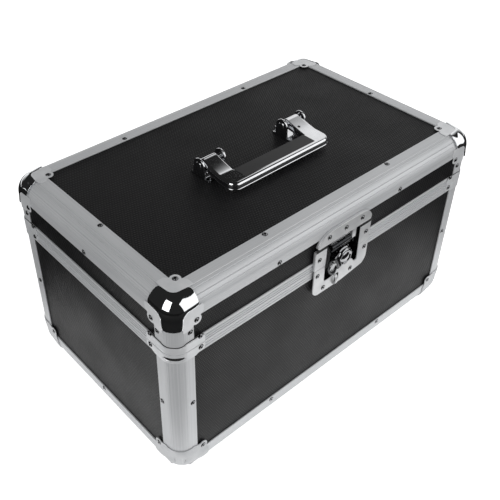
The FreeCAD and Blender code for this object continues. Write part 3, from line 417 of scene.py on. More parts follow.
def piece(title, body, finish, forms, replaces=(), sharp=35.0, wall=0.0, edge=0.0):
    """One finished piece. Doubles are merged and faces turned outwards before any wall is given."""
    material, slot = finish
    points, faces, grain = join(forms)
    mesh = bpy.data.meshes.new(title)
    mesh.from_pydata((points * MM).tolist(), [], faces)
    layer = mesh.attributes.new("grain", "FLOAT_VECTOR", "POINT")
    layer.data.foreach_set("vector", grain.astype(np.float32).ravel())
    work = bmesh.new()
    work.from_mesh(mesh)
    bmesh.ops.remove_doubles(work, verts=work.verts, dist=2e-7)
    if not wall:
        bmesh.ops.recalc_face_normals(work, faces=work.faces)
    work.to_mesh(mesh)
    work.free()
    mesh.shade_smooth()
    mesh.set_sharp_from_angle(angle=math.radians(sharp))
    mesh.materials.append(material)
    item = shown(title, mesh)
    if wall:
        solid = item.modifiers.new("wall", "SOLIDIFY")
        solid.thickness, solid.offset, solid.use_even_offset = wall * MM, -1.0, True
    if edge:
        bevel = item.modifiers.new("rolled edge", "BEVEL")
        bevel.width, bevel.segments, bevel.limit_method = edge * MM, 3, "ANGLE"
        bevel.angle_limit = math.radians(50)
    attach(item, body)
    if replaces:
        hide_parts(*replaces)
    return item


# Studio: the camera stands where the photographer's did. Lengths are in metres here.

CAMERA_AT = (-0.46605, -0.48259, 0.67100)
CAMERA_TURN = (0.8405265, 0.4122239, -0.1541396, -0.3159552)
CAMERA_LENS, CAMERA_SHIFT = 53.4666, (0.058416, -0.064319)
FLOOR_LIFT = 0.6  # the floor's glow where it is seen
CEILING = 0.02  # the dark room in reflections
FILL = 0.62  # the world's even light on the case


def make_camera():
    """The camera, with the photograph's framing as a small shift."""
    data = bpy.data.cameras.new("camera")
    data.lens, data.sensor_width = CAMERA_LENS, 36.0
    data.shift_x, data.shift_y = CAMERA_SHIFT
    item = shown("camera", data)
    item.location = CAMERA_AT
    item.rotation_mode = "QUATERNION"
    item.rotation_quaternion = CAMERA_TURN
    bpy.context.scene.camera = item


def soft_box(title, azimuth, height, away, wide, tall, brightness):
    """A rectangular lamp that faces the case, at an azimuth from the front and a height in
    degrees. Its power is brightness * pi * area: a brightness of 1 is white in a mirror."""
    data = bpy.data.lights.new(title, "AREA")
    data.shape, data.size, data.size_y = "RECTANGLE", wide, tall
    data.energy = brightness * math.pi * wide * tall
    a, h = math.radians(azimuth), math.radians(height)
    out = np.array([math.sin(a) * math.cos(h), -math.cos(a) * math.cos(h), math.sin(h)])
    across = np.cross((0, 0, 1), out)
    across /= np.linalg.norm(across)
    turn = np.stack([across, np.cross(out, across), out], 1)
    item = shown(title, data)
    item.location = out * away + np.array([0, 0, 0.15])
    item.rotation_mode = "QUATERNION"
    item.rotation_quaternion = Matrix(turn.tolist()).to_quaternion()


def make_floor():
    """A pale floor. Camera, glossy and transmission rays see it a little lifted, to white."""
    material, tree = blank("pale_paper")
    rays = add(tree, "LightPath").outputs
    seen = maths(tree, "MAXIMUM", rays["Is Camera Ray"], rays["Is Glossy Ray"])
    seen = maths(tree, "MAXIMUM", seen, rays["Is Transmission Ray"])
    paper = add(tree, "BsdfDiffuse", {"Color": (0.85, 0.85, 0.85, 1)})
    level = maths(tree, "MULTIPLY", seen, FLOOR_LIFT)
    glow = add(tree, "Emission", {"Color": (1, 1, 1, 1), "Strength": level})
    both = add(tree, "AddShader", {0: paper.outputs[0], 1: glow.outputs[0]})
    add(tree, "OutputMaterial", {"Surface": both.outputs[0]})
    sides = 96
    rings = np.array([1.0, 4.0, 60.0])[:, None, None] * turned([(1, 0)], sides)[0]
    mesh = bpy.data.meshes.new("floor")
    mesh.from_pydata(rings.reshape(-1, 3).tolist(), [], quads(3, sides, wrap=True) + [list(range(sides))])
    mesh.materials.append(material)
    shown("floor", mesh)


def make_flag():
    """A black card on the floor round the picture's frame, which gives polished metal its dark
    half. Only reflections show it."""
    material = surface(blank("black_card")[0], {"Base Color": linear("#0a0a0a"), "Roughness": 1.0})
    hole = [(0.183, 1.04), (-0.38, -0.04), (0.012, -0.375), (0.867, 0.162)]
    outside = [(60, -10), (40, -60), (-60, -60), (-60, 80)]
    mesh = bpy.data.meshes.new("flag")
    mesh.from_pydata([(x, y, 0.003) for x, y in hole + outside], [],
                     [[0, 1, 7], [1, 6, 7], [1, 2, 6], [2, 5, 6], [2, 3, 5], [3, 4, 5]])
    mesh.materials.append(material)
    item = shown("flag", mesh)
    item.visible_camera = item.visible_diffuse = item.visible_shadow = item.visible_transmission = False


def make_world():
    """A low white backdrop behind the case, a white card up to 45 degrees high at its right, where
    x > y, and a dark room all round for reflections. The camera sees white everywhere."""
    bpy.context.scene.world, tree = blank("studio", "worlds")
    x, y, z = split(tree, add(tree, "TexCoord").outputs["Generated"])
    card = between(tree, maths(tree, "SUBTRACT", x, y), 0.0, 0.42, -0.05, 0.05)
    low = between(tree, maths(tree, "SUBTRACT", z, card), 1.0, 0.0, 0.28, 0.37)
    behind = between(tree, y, 0.0, 1.0, -0.1, 0.3)
    right = between(tree, x, 0.0, 1.0, -0.35, 0.1)
    backdrop = maths(tree, "MULTIPLY", maths(tree, "MULTIPLY", low, behind), right)
    backdrop = maths(tree, "ADD", backdrop, CEILING)
    rays = add(tree, "LightPath").outputs
    level = blend(tree, rays["Is Diffuse Ray"], backdrop, FILL)
    level = blend(tree, rays["Is Camera Ray"], level, 1.0)
    background = add(tree, "Background", {"Color": (1, 1, 1, 1), "Strength": level})
    add(tree, "OutputWorld", {"Surface": background.outputs[0]})


bpy.context.scene.view_settings.view_transform = "Standard"
make_camera()
make_floor()
make_flag()
make_world()
soft_box("front_box", 34, 26, 1.7, 2.3, 1.6, 1.4)
soft_box("left_box", -78, 32, 1.7, 0.95, 1.3, 2.2)

for title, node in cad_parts.items():
    node.data.materials.clear()
    node.data.materials.append(ZINC[0] if title == "latch_pivot_post" else LAMINATE)


# Aluminium edges

DRAWN_LINES, LINE_HALF = (12, 24.5, 47, 63.5), 1.9  # degrees round the bend
UNDER_CAP = 24  # where an extrusion's outer skin ends, under the corner's cap
LATCH_GAP = 26.4  # the rims stop here, beside the latch


def edge_section(line_depth):
    """The extrusion: two flanges joined by an arc (16 - r sin a, 16 - r cos a), whose radius r
    dips at each drawn line, and two inner legs."""
    lines = np.array(DRAWN_LINES)
    angle = np.unique(chain(np.linspace(0, 90, 25), lines, lines - LINE_HALF, lines + LINE_HALF))
    dip = np.maximum(1 - np.abs(angle[:, None] - lines) / LINE_HALF, 0).max(1)[:, None]
    turn = np.radians(angle)
    bend = BEND - (BEND - line_depth * dip) * np.stack([np.sin(turn), np.cos(turn)], 1)
    outside = [(FLANGE, 0.35), (FLANGE - 0.35, 0), (FLANGE - 0.65, 0)]
    inside = [(SKIN, FLANGE), (SKIN, BEND), (BOARD_IN, BEND), (BOARD_IN, LEG_END), (LINING_OUT, LEG_END),
              (LINING_OUT, BEND)]
    return chain(outside, bend, flipped(outside), inside, flipped(inside))


def extrusion(section, corner, plane, along, length, number, mitred=(1, 1)):
    """The section carried along a straight line. At a mitred end each point stops short by how
    far it lies beyond the bend, and the outer skin 24 mm from the corner, under the cap."""
    short = np.maximum(section.max(1), np.where(section.min(1) < 2, UNDER_CAP, BEND)) - BEND
    ends = [short * mitred[0], length - short * mitred[1]]
    line = np.array(corner) + section @ np.array(plane, float)
    form = skin(np.stack([line + end[:, None] * np.array(along, float) for end in ends]))
    girth = np.tile(walked(section), 2)
    return (*form, np.stack([np.concatenate(ends), girth, np.full(len(girth), number * 37)], 1))


def make_edges():
    """The eight lengths along the bottom and the top, the four uprights, and the lid's posts."""
    plain, lined = edge_section(0.12), edge_section(0.38)
    end = HALF - BEND
    number = 0
    rows = ("base", "box", FLOOR, 1, plain), ("lid", "lid", TOP, -1, lined)
    for prefix, body, level, rise, section in rows:
        for side, x, y in (("front", 0, -1), ("back", 0, 1), ("left", -1, 0), ("right", 1, 0)):
            number += 1
            along = np.array([abs(y), abs(x)])
            start = np.array([x, y]) * HALF - along * end
            form = extrusion(section, (*start, level), ((-x, -y, 0), (0, 0, rise)), (*along, 0),
                             2 * along @ end, number)
            piece(f"{prefix}_extrusion_{side}", body, ALUMINIUM, [form], [f"{prefix}_edge_{side}"])
    posts = []
    low, high = FLOOR + BEND, TOP - BEND
    for side, (x, y) in zip(("front_left", "front_right", "back_right", "back_left"), CORNERS):
        number += 1
        at, plane, up = (x * HALF_LONG, y * HALF_DEEP), ((-x, 0, 0), (0, -y, 0)), (0, 0, 1)
        form = extrusion(plain, (*at, low), plane, up, BODY_BAND - low, number, (1, 0))
        piece(f"post_{side}", "box", ALUMINIUM, [form], [f"upright_{side}"])
        posts.append(extrusion(plain, (*at, LID_BAND), plane, up, high - LID_BAND, number + 20, (0, 1)))
    piece("lid_posts", "lid", ALUMINIUM, posts, ["lid_corner_posts"])


def rim(section):
    """A section of (depth, height) carried round the case's plan. Each depth moves the plan in:
    quarter circles (16 - depth) about the corners' own centres, from one side of the latch gap
    right round to the other."""
    section = np.array(section, float)
    depth = section[:, 0, None, None]
    turn = np.radians(np.linspace(-90, 0, 9) + 90 * np.arange(4)[:, None])
    circle = np.stack([np.cos(turn), np.sin(turn)], -1)
    centre = CORNERS[[1, 2, 3, 0], None] * (HALF - BEND)
    corner = (centre + (BEND - depth[..., None]) * circle).reshape(len(depth), -1, 2)
    front = depth[..., 0] - HALF_DEEP
    start, end = (np.stack([np.full_like(front, x), front], -1) for x in (LATCH_GAP, -LATCH_GAP))
    plan = np.concatenate([start, corner, end], 1)
    height = np.broadcast_to(section[:, 1, None, None], plan.shape[:2] + (1,))
    rings = np.concatenate([plan, height], -1).transpose(1, 0, 2)
    grain = np.meshgrid(walked(rings[:, 0]), walked(section), indexing="ij")
    grain.append(np.full_like(grain[0], section[0, 1]))
    return (*skin(rings), np.stack(grain, -1).reshape(-1, 3))


def groove(start, depth, wide, rise):
    """A drawn groove that begins at a height."""
    return [(0, start), (depth, start + rise * 0.3), (depth, start + rise * (0.3 + wide)),
            (0, start + rise * (0.6 + wide))]


def lip(level, rise):
    """The soft edge of a rim at the parting."""
    return [(0, level - rise * 0.35), (0.2, level - rise * 0.22), (1.2, level - rise * 0.15), (1.35, level)]


def make_rims():
    """The two rim frames with their tongue and groove and two drawn grooves outside."""
    low, web, tongue = BODY_BAND, BODY_TOP - SKIN, BODY_TOP + 2.4
    body = [(SKIN, low), (0.3, low), (0, low + 0.3), *groove(low + 3, 0.9, 0.3, 1),
            *groove(low + 6.1, 1, 0.4, 1), *lip(BODY_TOP, 1), (8.2, BODY_TOP), (8.2, tongue), (9.4, tongue),
            (9.4, web), (LINING_OUT, web), (LINING_OUT, web - 5.5), (BOARD_IN, web - 5.5), (BOARD_IN, web),
            (SKIN, web)]
    piece("body_rim", "box", ALUMINIUM, [rim(body)], ["body_rim_frame"])
    low, high = LID_LOW, LID_BAND
    lid = [(SKIN, high), (0.3, high), (0, high - 0.3), *groove(low + 6.3, 1, 0.4, -1),
           *groove(low + 3.1, 0.9, 0.3, -1), *lip(low, -1), (7.4, low), (7.4, low + SKIN), (SKIN, low + SKIN)]
    piece("lid_rim", "lid", ALUMINIUM, [rim(lid)], ["lid_rim_frame"])


def make_board_shadow_lines():
    """Painted shadow: the black line in the gap where each board meets the metal, as four thin strips round
    every board's visible face."""
    (end_x, end_y), (face_x, face_y), wide = HALF - FLANGE, HALF - SKIN, 0.9

    def frame_round(u, low, high, w, place):
        level = sorted((w - math.copysign(0.1, w), w + math.copysign(0.25, w)))
        strips = [(-u, low, wide - u, high), (u - wide, low, u, high), (-u, low, u, low + wide),
                  (-u, high - wide, u, high)]
        return [slab(rectangle(*strip), *level, 0.05, place, 1) for strip in strips]

    for body, low, high in (("box", FLOOR + FLANGE, BODY_BAND), ("lid", LID_BAND, TOP - FLANGE)):
        forms = []
        for sign in (-1, 1):
            forms += frame_round(end_x, low, high, sign * face_y, FRONT)
            forms += frame_round(end_y, low, high, sign * face_x, SIDE)
        if body == "lid":
            forms += frame_round(end_x, -end_y, end_y, TOP - SKIN, FLAT)
        piece(f"{body}_board_shadow_lines", body, RUBBER_AND_SHADE, forms)


# Pressed braces on the rim's corners

BRACE_REACH, BRACE_END = 36, 3.6  # how far a brace runs from the corner, and its round ends
SLOT_LEVEL = PARTING - 6.1


def brace(corner, low, high, slot=False, proudness=1):
    """A strip round one corner. Its path runs straight from 36 mm out, round a quarter circle and
    out again; its lower and upper edges are functions of the distance from the corner planes. The
    slot is pressed in where (l/10)^4 + (h/1.9)^2 is near 1 or less."""
    straight = np.linspace(BRACE_REACH, BEND, 40)[:-1]
    turn = np.radians(np.linspace(0, 90, 33))
    zero, one = np.zeros(len(straight)), np.ones(len(straight))
    near = np.stack([chain(straight, BEND - BEND * np.sin(turn), zero),
                     chain(zero, BEND - BEND * np.cos(turn), straight[::-1])], 1)
    normal = np.stack([chain(zero, np.sin(turn), one), chain(one, np.cos(turn), zero)], 1)
    along = walked(near)[:, None]
    bottom, top = low(near)[:, None], high(near)[:, None]
    share = np.array([0, 0.012, 0.035, 0.08, *np.linspace(0.14, 0.86, 16), 0.92, 0.965, 0.988, 1])
    proud = np.array([0.72, 0.92, 0.99, *np.ones(len(share) - 6), 0.99, 0.92, 0.72]) * proudness
    height = bottom + (top - bottom) * share
    out = np.broadcast_to(proud, height.shape)
    if slot:
        oval = ((along - along[-1] / 2) / 10) ** 4 + ((height - SLOT_LEVEL) / 1.9) ** 2
        out = out - 0.92 * np.clip((1.15 - oval) / 0.3, 0, 1)
    outer = np.concatenate([near[:, None] - normal[:, None] * out[..., None], height[..., None]], -1)
    inner = np.stack([np.hstack([near, edge]) for edge in (top, bottom)], 1)
    ring = np.concatenate([outer, inner], 1)
    ring[..., :2] = corner * (HALF - ring[..., :2])
    return skin(ring)


def round_end(near):
    """How much an edge draws in near the strip's end: a circle."""
    over = np.clip((near.max(1) - BRACE_REACH) / BRACE_END + 1, 0, 1)
    return BRACE_END * (1 - np.sqrt(1 - over ** 2))


def level_at(height):
    """A straight edge at a height."""
    return lambda near: np.full(len(near), height)


def lid_brace_top(near):
    """Level at the ends, scooped out by a circle of 16.5 mm on each face."""
    scoop, off = 16.5, np.abs(near - 8)
    dip = np.where(off < scoop, 24 - np.sqrt(np.maximum(scoop ** 2 - off ** 2, 0)), 99).min(1)
    return LID_LOW + np.minimum(dip, 13.5) - round_end(near)


def body_brace_low(near):
    """Widest round the corner, narrower under the rivet."""
    rise = np.clip((near.max(1) - FLANGE) / 6, 0, 1)
    return BODY_BAND + 2.2 * rise * rise * (3 - 2 * rise) + round_end(near)


def make_braces():
    """Four braces on each rim, a black line of painted shadow along the lid braces' top edge, and painted
    shade inside the body braces' slots."""
    low = [brace(corner, body_brace_low, level_at(BODY_TOP), True) for corner in CORNERS]
    high = [brace(corner, level_at(LID_LOW), lid_brace_top) for corner in CORNERS]
    # Painted shadow: a thin black strip along each lid brace's top edge.
    shadow_lines = [brace(corner, lid_brace_top, lambda near: lid_brace_top(near) + 0.9, proudness=0.3)
             for corner in CORNERS]
    piece("lid_brace_shadow_lines", "lid", RUBBER_AND_SHADE, shadow_lines)
    piece("body_braces", "box", SATIN, low, ["body_rim_braces"])
    piece("lid_braces", "lid", SATIN, high, ["lid_rim_braces"])
    turn = np.linspace(-1, 1, 33)
    angle = np.radians(45 + turn * 39)
    way = np.stack([np.sin(angle), np.cos(angle)], 1)
    half = 1.75 * np.sqrt(np.maximum(1 - turn ** 4, 0.004))
    # Painted shade: black inserts inside the body braces' slots.
    slot_shades = []
    for corner in CORNERS:
        rings = [np.column_stack([corner * (HALF - BEND + (BEND + out) * way), SLOT_LEVEL + side * half])
                 for out, side in ((0.1, -1), (0.3, -1), (0.3, 1), (0.1, 1))]
        slot_shades.append(skin(np.stack(rings, 1)))
    piece("brace_slot_shades", "box", RUBBER_AND_SHADE, slot_shades)


# Ball corners


def corner_shell(outer, arm, open_face, ball_at):
    """A pressed three-way corner as open sheets, in distances from the corner planes. The ball is
    B + R n/|n| with n = (-p, -q, -1). An arm's section is a circle about (c, c), where c falls from
    the ball's B to the bend's own 16. On an open face the shell stops at a hollow curve between two
    arms: both then fill p, q from that curve to the ridge at p = 1 or q = 1. The last 2.3 mm before
    the curve roll down by 4 - sqrt(16 - u^2)."""
    radius = ball_at + outer
    reach = np.linspace(ball_at, arm, 17)[:, None]
    settle = np.clip((reach - ball_at) / (12 if open_face else 13), 0, 1)
    centre = ball_at - (ball_at - BEND) * settle ** 2 * (3 - 2 * settle)
    if open_face:
        share = np.array([0, 0.05, 0.1, 0.15, 0.2, 0.26, 0.33, 0.45, 0.63, 0.82, 1])
        drop = 4 - np.sqrt(16 - (2.3 * np.clip(1 - share / 0.26, 0, 1)) ** 2)
        s, t, near = np.linspace(0, 1, 25)[:, None, None], share[None, :, None], 13.5
        hollow = ((1 - s) ** 2 * np.array([ball_at, near]) + 2 * s * (1 - s) * 14.7
                  + s ** 2 * np.array([near, ball_at]))
        hollow = (ball_at - hollow) / np.sqrt(radius ** 2 - ((ball_at - hollow) ** 2).sum(-1, keepdims=True))
        ridge = np.minimum(2 * np.concatenate([s, 1 - s], -1), 1)
        p, q = np.moveaxis((1 - t) * hollow + t * ridge, -1, 0)
        sine = (centre - np.interp(reach, [ball_at, arm], [near, 12])) / (centre + outer)
        tangent = (1 - share) * sine / np.sqrt(1 - sine ** 2) + share
        end = reach - 1.5 * (1 - share) ** 6 * np.clip((reach - arm + 6) / 6, 0, 1)
    else:
        share, drop = np.linspace(0, 1, 13), np.zeros(13)
        tilt = np.tan(np.radians(45 * share))
        p, q = np.meshgrid(tilt, tilt, indexing="ij")
        tangent, end = np.broadcast_arrays(tilt, reach)
    normal = np.stack([-p, -q, -np.ones_like(p)], -1)
    ball = ball_at + (radius - drop[:, None]) * normal / np.linalg.norm(normal, axis=-1, keepdims=True)
    wide = (centre + outer - drop) / np.sqrt(1 + tangent ** 2)
    limb = np.stack([end, centre - wide * tangent, centre - wide], -1)
    sheets = [patch(sheet[..., order]) for order in CYCLES for sheet in (ball, limb, limb[..., [1, 0, 2]])]
    return facing_out(join(sheets), np.full(3, arm * 0.6 + BEND * 0.4))


def at_corners(forms, level, rise):
    """Forms drawn in distances from the corner planes, set at each corner of the case."""
    placed = []
    for corner in CORNERS:
        for points, faces, *grain in forms:
            points = np.column_stack([corner * (HALF - points[:, :2]), level + rise * points[:, 2]])
            if corner[0] * corner[1] * rise < 0:
                faces = [face[::-1] for face in faces]
            placed.append((points, faces, *grain))
    return placed


def corner_plates(reach, lobe, inner, thick):
    """The three flat flanges with the round lobe of the rivet. Their inner edge, mirrored about the
    diagonal, lies under the ball and the arms."""
    wide, near = FLANGE - 3, inner[-1][1]
    side = [(reach - 1.2, near), (reach, near + 1.2), (reach, wide - 1), (reach - 1, wide)]
    swell = arc(lobe, lobe, 5.4, -35, 125, 10)
    plate = slab(chain(flipped(inner[1:]), inner, side, swell, flipped(side)), -thick, -0.02, 0.25)
    return [(plate[0][:, order], plate[1]) for order in CYCLES]


LID_LOBE, BASE_LOBE = 27.5, 30.5  # where the flanges' rivets sit, from the corner planes


def make_corners():
    """Chrome corners over satin flanges on the lid, satin corners under the body."""
    shells = at_corners([corner_shell(2, 31, True, 18.5)], TOP, -1)
    piece("lid_chrome_corners", "lid", CHROME, shells, ["lid_ball_corners"], 50, 1.9, 0.5)
    plates = corner_plates(35.5, LID_LOBE, [(15, 15), (18.5, 13.1), (24, 12.2)], 0.6)
    piece("lid_corner_flanges", "lid", SATIN, at_corners(plates, TOP, -1))
    # The base corners and their flanges take the darker satin, which is painted shade.
    shells = at_corners([corner_shell(1, 37.5, False, 20)], FLOOR, 1)
    piece("base_corner_shells", "box", SHADED_SATIN, shells, ["base_ball_corners"], 50, 0.95, 0.25)
    plates = corner_plates(37.5, BASE_LOBE, [(19.9, 19.9), (24, 18.6), (28, 17), (33, 15.9)], 1)
    piece("base_corner_flanges", "box", SHADED_SATIN, at_corners(plates, FLOOR, 1))


# Rivets, feet and screws

RIVET_PROFILE = [(0.01, 0.1), (0.9, 0.15), (1.15, 0.8), (1.5, 0.9), (1.9, 0.78), (2.3, 0.4), (2.5, 0.12),
                 (2.9, 0.08), (2.9, -0.15), (0.01, -0.15)]
# The latch plates' front and back and the dish's bottom, from the middle of the case.
FACE, BEHIND, DEEP = HALF_DEEP + 3, HALF_DEEP + 0.05, HALF_DEEP - 12
HINGE_X, HINGE_OUT = 118, 4.6


def rivets(places):
    """Rivet heads at points, each with its direction."""
    head = turned(RIVET_PROFILE, 12)
    return [stood(head, at, direction) for at, direction in places]


def upright_places(inset_by, level, proud):
    """Two rivets at each upright corner."""
    return [place for x, y in CORNERS for place in (
        ((x * (HALF_LONG + proud), y * (HALF_DEEP - inset_by), level), (x, 0, 0)),
        ((x * (HALF_LONG - inset_by), y * (HALF_DEEP + proud), level), (0, y, 0)))]


def corner_places(lobe, proud, level, rise):
    """One rivet on each face of the four corners."""
    sides = upright_places(lobe, level + rise * lobe, proud)
    return sides + [((*corner * (HALF - lobe), level - rise * proud), (0, 0, -rise)) for corner in CORNERS]


def edge_places(level, rise, top):
    """The rivets along the four long edges, and on the top beside them."""
    inset_by, places = 21, []
    for sign in (-1, 1):
        for x in (-88, 88, 0):
            at, way = ((x, sign * HALF_DEEP), (0, sign)) if x else ((sign * HALF_LONG, 0), (sign, 0))
            places.append(((*at, level + rise * inset_by), (*way, 0)))
            if top:
                places.append(((at[0] - way[0] * inset_by, at[1] - way[1] * inset_by, level), (0, 0, 1)))
    return places


def on_face(points, out=FACE):
    """Places on the front, at points (x, height above the case's bottom)."""
    return [((x, -out, FLOOR + z), (0, -1, 0)) for x, z in points]


def hinge_places(up):
    """Three rivets in each hinge leaf."""
    return [((side * HINGE_X + step * 19, HALF_DEEP, PARTING + up * 21), (0, 1, 0))
            for side in (-1, 1) for step in (-1, 0, 1)]


def make_rivets():
    """All the rivet heads, one piece for each body."""
    places = corner_places(BASE_LOBE, 1, FLOOR, 1) + upright_places(20.5, FLOOR + 104, 0)
    places += upright_places(31, BODY_TOP - 3.6, 1) + edge_places(FLOOR, 1, False)
    places += on_face([(-35.3, 169.5), (35.3, 169.5), (-25, 148.5), (16, 151)]) + hinge_places(-1)
    piece("body_rivet_heads", "box", RIVET, rivets(places), ["body_rivets"])
    places = corner_places(LID_LOBE, 0.6, TOP, -1) + upright_places(20.5, TOP - 38.6, 0)
    places += upright_places(31, LID_LOW + 9.6, 1) + edge_places(TOP, -1, True)
    places += on_face([(-34.5, 190), (34.5, 190)]) + hinge_places(1)
    places += on_face([(-23.2, 212.8), (1, 212.8), (25, 212.8)], FACE + 0.4)
    piece("lid_rivet_heads", "lid", RIVET, rivets(places), ["lid_rivets"])


def make_feet():
    """Rubber feet with a tapered side and a well for the screw."""
    foot = turned([(0.01, 3.4), (4.6, 3.4), (4.9, 3.1), (5, 0.5), (5.4, 0.05), (8.6, 0), (9.3, 0.4),
                   (10, 4.6), (10, 5), (0.01, 5)], 36)
    screw = turned([(0.01, 2.1), (0.9, 2.1), (1, 1.75), (2.2, 1.7), (3.5, 2.1), (4.2, 3), (4.2, 3.5),
                    (0.01, 3.5)], 24)
    spots = [(x, y, 0) for x in (-168, 168) for y in (-84, 84)]
    piece("feet", "box", RUBBER_AND_SHADE, [stood(foot, spot) for spot in spots], ["rubber_feet"])
    piece("foot_screw_heads", "box", ZINC, [stood(screw, spot) for spot in spots], ["foot_screws"])


# Hinges


def make_hinges():
    """Two hinges on the back: each leaf lies on the board, steps over the rim and curls round the pin."""
    half, knuckle = 28, 56 / 3
    flat = [(-SKIN, -27), (0, -27), (0, -13.2), (1.5, -11.4), (1.5, -7.5), (0.2, -7.4), (0, -11.4),
            (-SKIN, -13)]
    curl = chain([(1.5, -7.5), (0.1, -7.6), (0.6, -4.4)], arc(HINGE_OUT, 0, 3.8, 200, -80, 18),
                           [(HINGE_OUT - 1.5, -4.6)])
    rows = ("box", -1, (0, 2), "hinge_body_leaves"), ("lid", 1, (1,), "hinge_lid_leaves")
    for body, up, own, node in rows:
        place = np.array([[0, 1, 0], [0, 0, -up], [1, 0, 0]], float)
        leaf = [slab(softened(flat, 0.3, 2), -half, half, 0.3, place)]
        leaf += [slab(curl, part * knuckle - half + 0.2, (part + 1) * knuckle - half - 0.2, 0.25, place)
                 for part in own]
        forms = [(points + [side, HALF_DEEP, PARTING], faces) for side in (-HINGE_X, HINGE_X)
                 for points, faces in leaf]
        piece(f"{node}_formed", body, ZINC, forms, [node])
    axis = HALF_DEEP + HINGE_OUT, PARTING
    pins = [rod(1.9, (side - half, *axis), (side + half, *axis), 0.5) for side in (-HINGE_X, HINGE_X)]
    piece("hinge_pin_ends", "box", ZINC, pins, ["hinge_pins"])


# Handle

PIVOT_Y, PIVOT_Z = 1, TOP + 13
GRIP_TOP, GRIP_LOW = TOP + 12, TOP + 3.5
EARS = (44.5, 72.5)  # the two ears of a bracket, from the middle


def bail():
    """The cast bail. Its plan is a U, walked along its outer side. Across it runs a section of
    depth d from there and share s between the lower and upper faces, whose heights depend on y: a
    circle round the pin, a slope, then the level bar. The upper edge is a quarter ellipse,
    d = 0.5 + 3 (1 - cos t), and a ledge runs round above the lower edge."""
    half, front, corner_radius, eye = 70.9, -48.5, 11, 5.5
    back = PIVOT_Y + eye * np.sin(np.radians([90, 80, 66, 50, 33, 16, 0]))
    run = chain(back, np.linspace(PIVOT_Y, front + corner_radius, 16)[1:])
    swing = np.radians(np.linspace(180, 270, 13))[:, None]
    t = np.linspace(0, math.pi / 2, 7)
    depth = chain(0.5 + 3 * (1 - np.cos(t)), [3.9, 4.3, 19.2, 19.6, 20.1, 20.4, 20.4, 20.1, 19.6,
                                                         19.2, 1.9, 1.6], 1.3 * (1 - np.sin(t)), [0.1, 0.5])
    share = chain(0.6 + 0.4 * np.sin(t), [1, 1, 1, 1, 0.96, 0.88, 0.12, 0.04, 0, 0, 0, 0],
                            0.15 * (1 - np.cos(t)), [0.185, 0.22])
    radius = np.maximum(corner_radius - depth, 0.6)
    centre_x, centre_y = -half + depth + radius, front + depth * (22.5 / 20.4) + radius
    arm = np.stack(np.broadcast_arrays(-half + depth, np.maximum(run[:, None], centre_y)), -1)
    corner = np.stack([centre_x + radius * np.cos(swing), centre_y + radius * np.sin(swing)], -1)
    plan = chain(arm, corner)
    plan = chain(plan, plan[::-1] * [-1, 1])
    y = plan[..., 1]
    around = np.sqrt(np.maximum(eye ** 2 - (y - PIVOT_Y) ** 2, 0))
    climb = np.clip((y + 25) / (PIVOT_Y + 25), 0, 1) ** 1.25
    top = np.where(y > PIVOT_Y, PIVOT_Z + around, GRIP_TOP + (PIVOT_Z + eye - GRIP_TOP) * climb)
    low = PIVOT_Z - eye
    under = np.interp(y, [-27, -23, -13, PIVOT_Y], [GRIP_LOW, GRIP_LOW + 2, low - 1.2, low])
    under = np.where(y > PIVOT_Y, PIVOT_Z - around, under)
    return skin(np.concatenate([plan, (under + (top - under) * share)[..., None]], -1))


def make_handle():
    """Brackets, pins, the bail, its grip inset, and a black disc of painted shade for the small hole in its
    right arm.
    """
    base = TOP - SKIN
    ear = chain([(PIVOT_Y - 9, base), (PIVOT_Y + 9, base)], arc(PIVOT_Y, PIVOT_Z, 8, 8, 172, 20))
    pin = [(0.01, 0), (2.6, 0), (3.7, 0.25), (4.2, 0.7), (4.2, 0.95), (2.8, 0.95)]
    pin = turned(pin + [(r, 31.8 - h) for r, h in pin[::-1]], 28)
    forms, pins = [], []
    for side in (-1, 1):
        forms += [slab(ear, side * middle - 1, side * middle + 1, 0.45, SIDE) for middle in EARS]
        low, high = sorted(side * middle for middle in EARS)
        forms.append(block((low, PIVOT_Y - 14, base), (high, PIVOT_Y + 14, base + 1.5)))
        forms += [block((low + 3, PIVOT_Y + y, base), (high - 3, PIVOT_Y + y + 1.5, TOP + 5.4))
                  for y in (-14, 12.5)]
        pins.append(stood(pin, (low - 1.9, PIVOT_Y, PIVOT_Z), (1, 0, 0)))
    piece("handle_bracket_pair", "lid", BRIGHT, forms, ["handle_brackets"])
    piece("handle_pin_pair", "lid", BRIGHT, pins, ["handle_pins"])
    piece("handle_bail_cast", "handle", BRIGHT, [bail()], ["handle_bail"], 40)
    # Painted shade: a black disc for the small hole in the right arm.
    hole = turned([(0.01, 0.12), (1.5, 0.12), (1.7, 0.02), (1.7, -0.3), (0.01, -0.3)], 16)
    piece("handle_bail_hole_shade", "handle", RUBBER_AND_SHADE, [stood(hole, (55.5, -13.8, 256.3), (0, -0.27, 0.96))])
    pad = slab(softened(rectangle(-49.9, -42.9, 49.9, -26.1), 0.6, 3), GRIP_TOP - 0.4, GRIP_TOP + 0.2, 0.15)
    piece("handle_grip_pad", "handle", BLACK, [pad], ["handle_grip_inset"])


# Latch

DISH, SHEET = 24.8, 1.2  # half the dish's width, and its sheet
WING_TURN = math.radians(20)  # the wing's rest, past level


def out_at(low, high, edge, outline):
    """A plate on the front, between two distances from the middle of the case."""
    return slab(outline, low, high, edge, FRONT)


def channel(open_at, shut_at):
    """The dish's wall: a U that is open at one height and shut at the other."""
    half, shut_out = DISH + SHEET, shut_at + math.copysign(SHEET, shut_at - open_at)
    right = [(half, shut_out), (half, open_at), (DISH, open_at), (DISH, shut_at)]
    return np.array(right + [(-u, v) for u, v in right[::-1]])


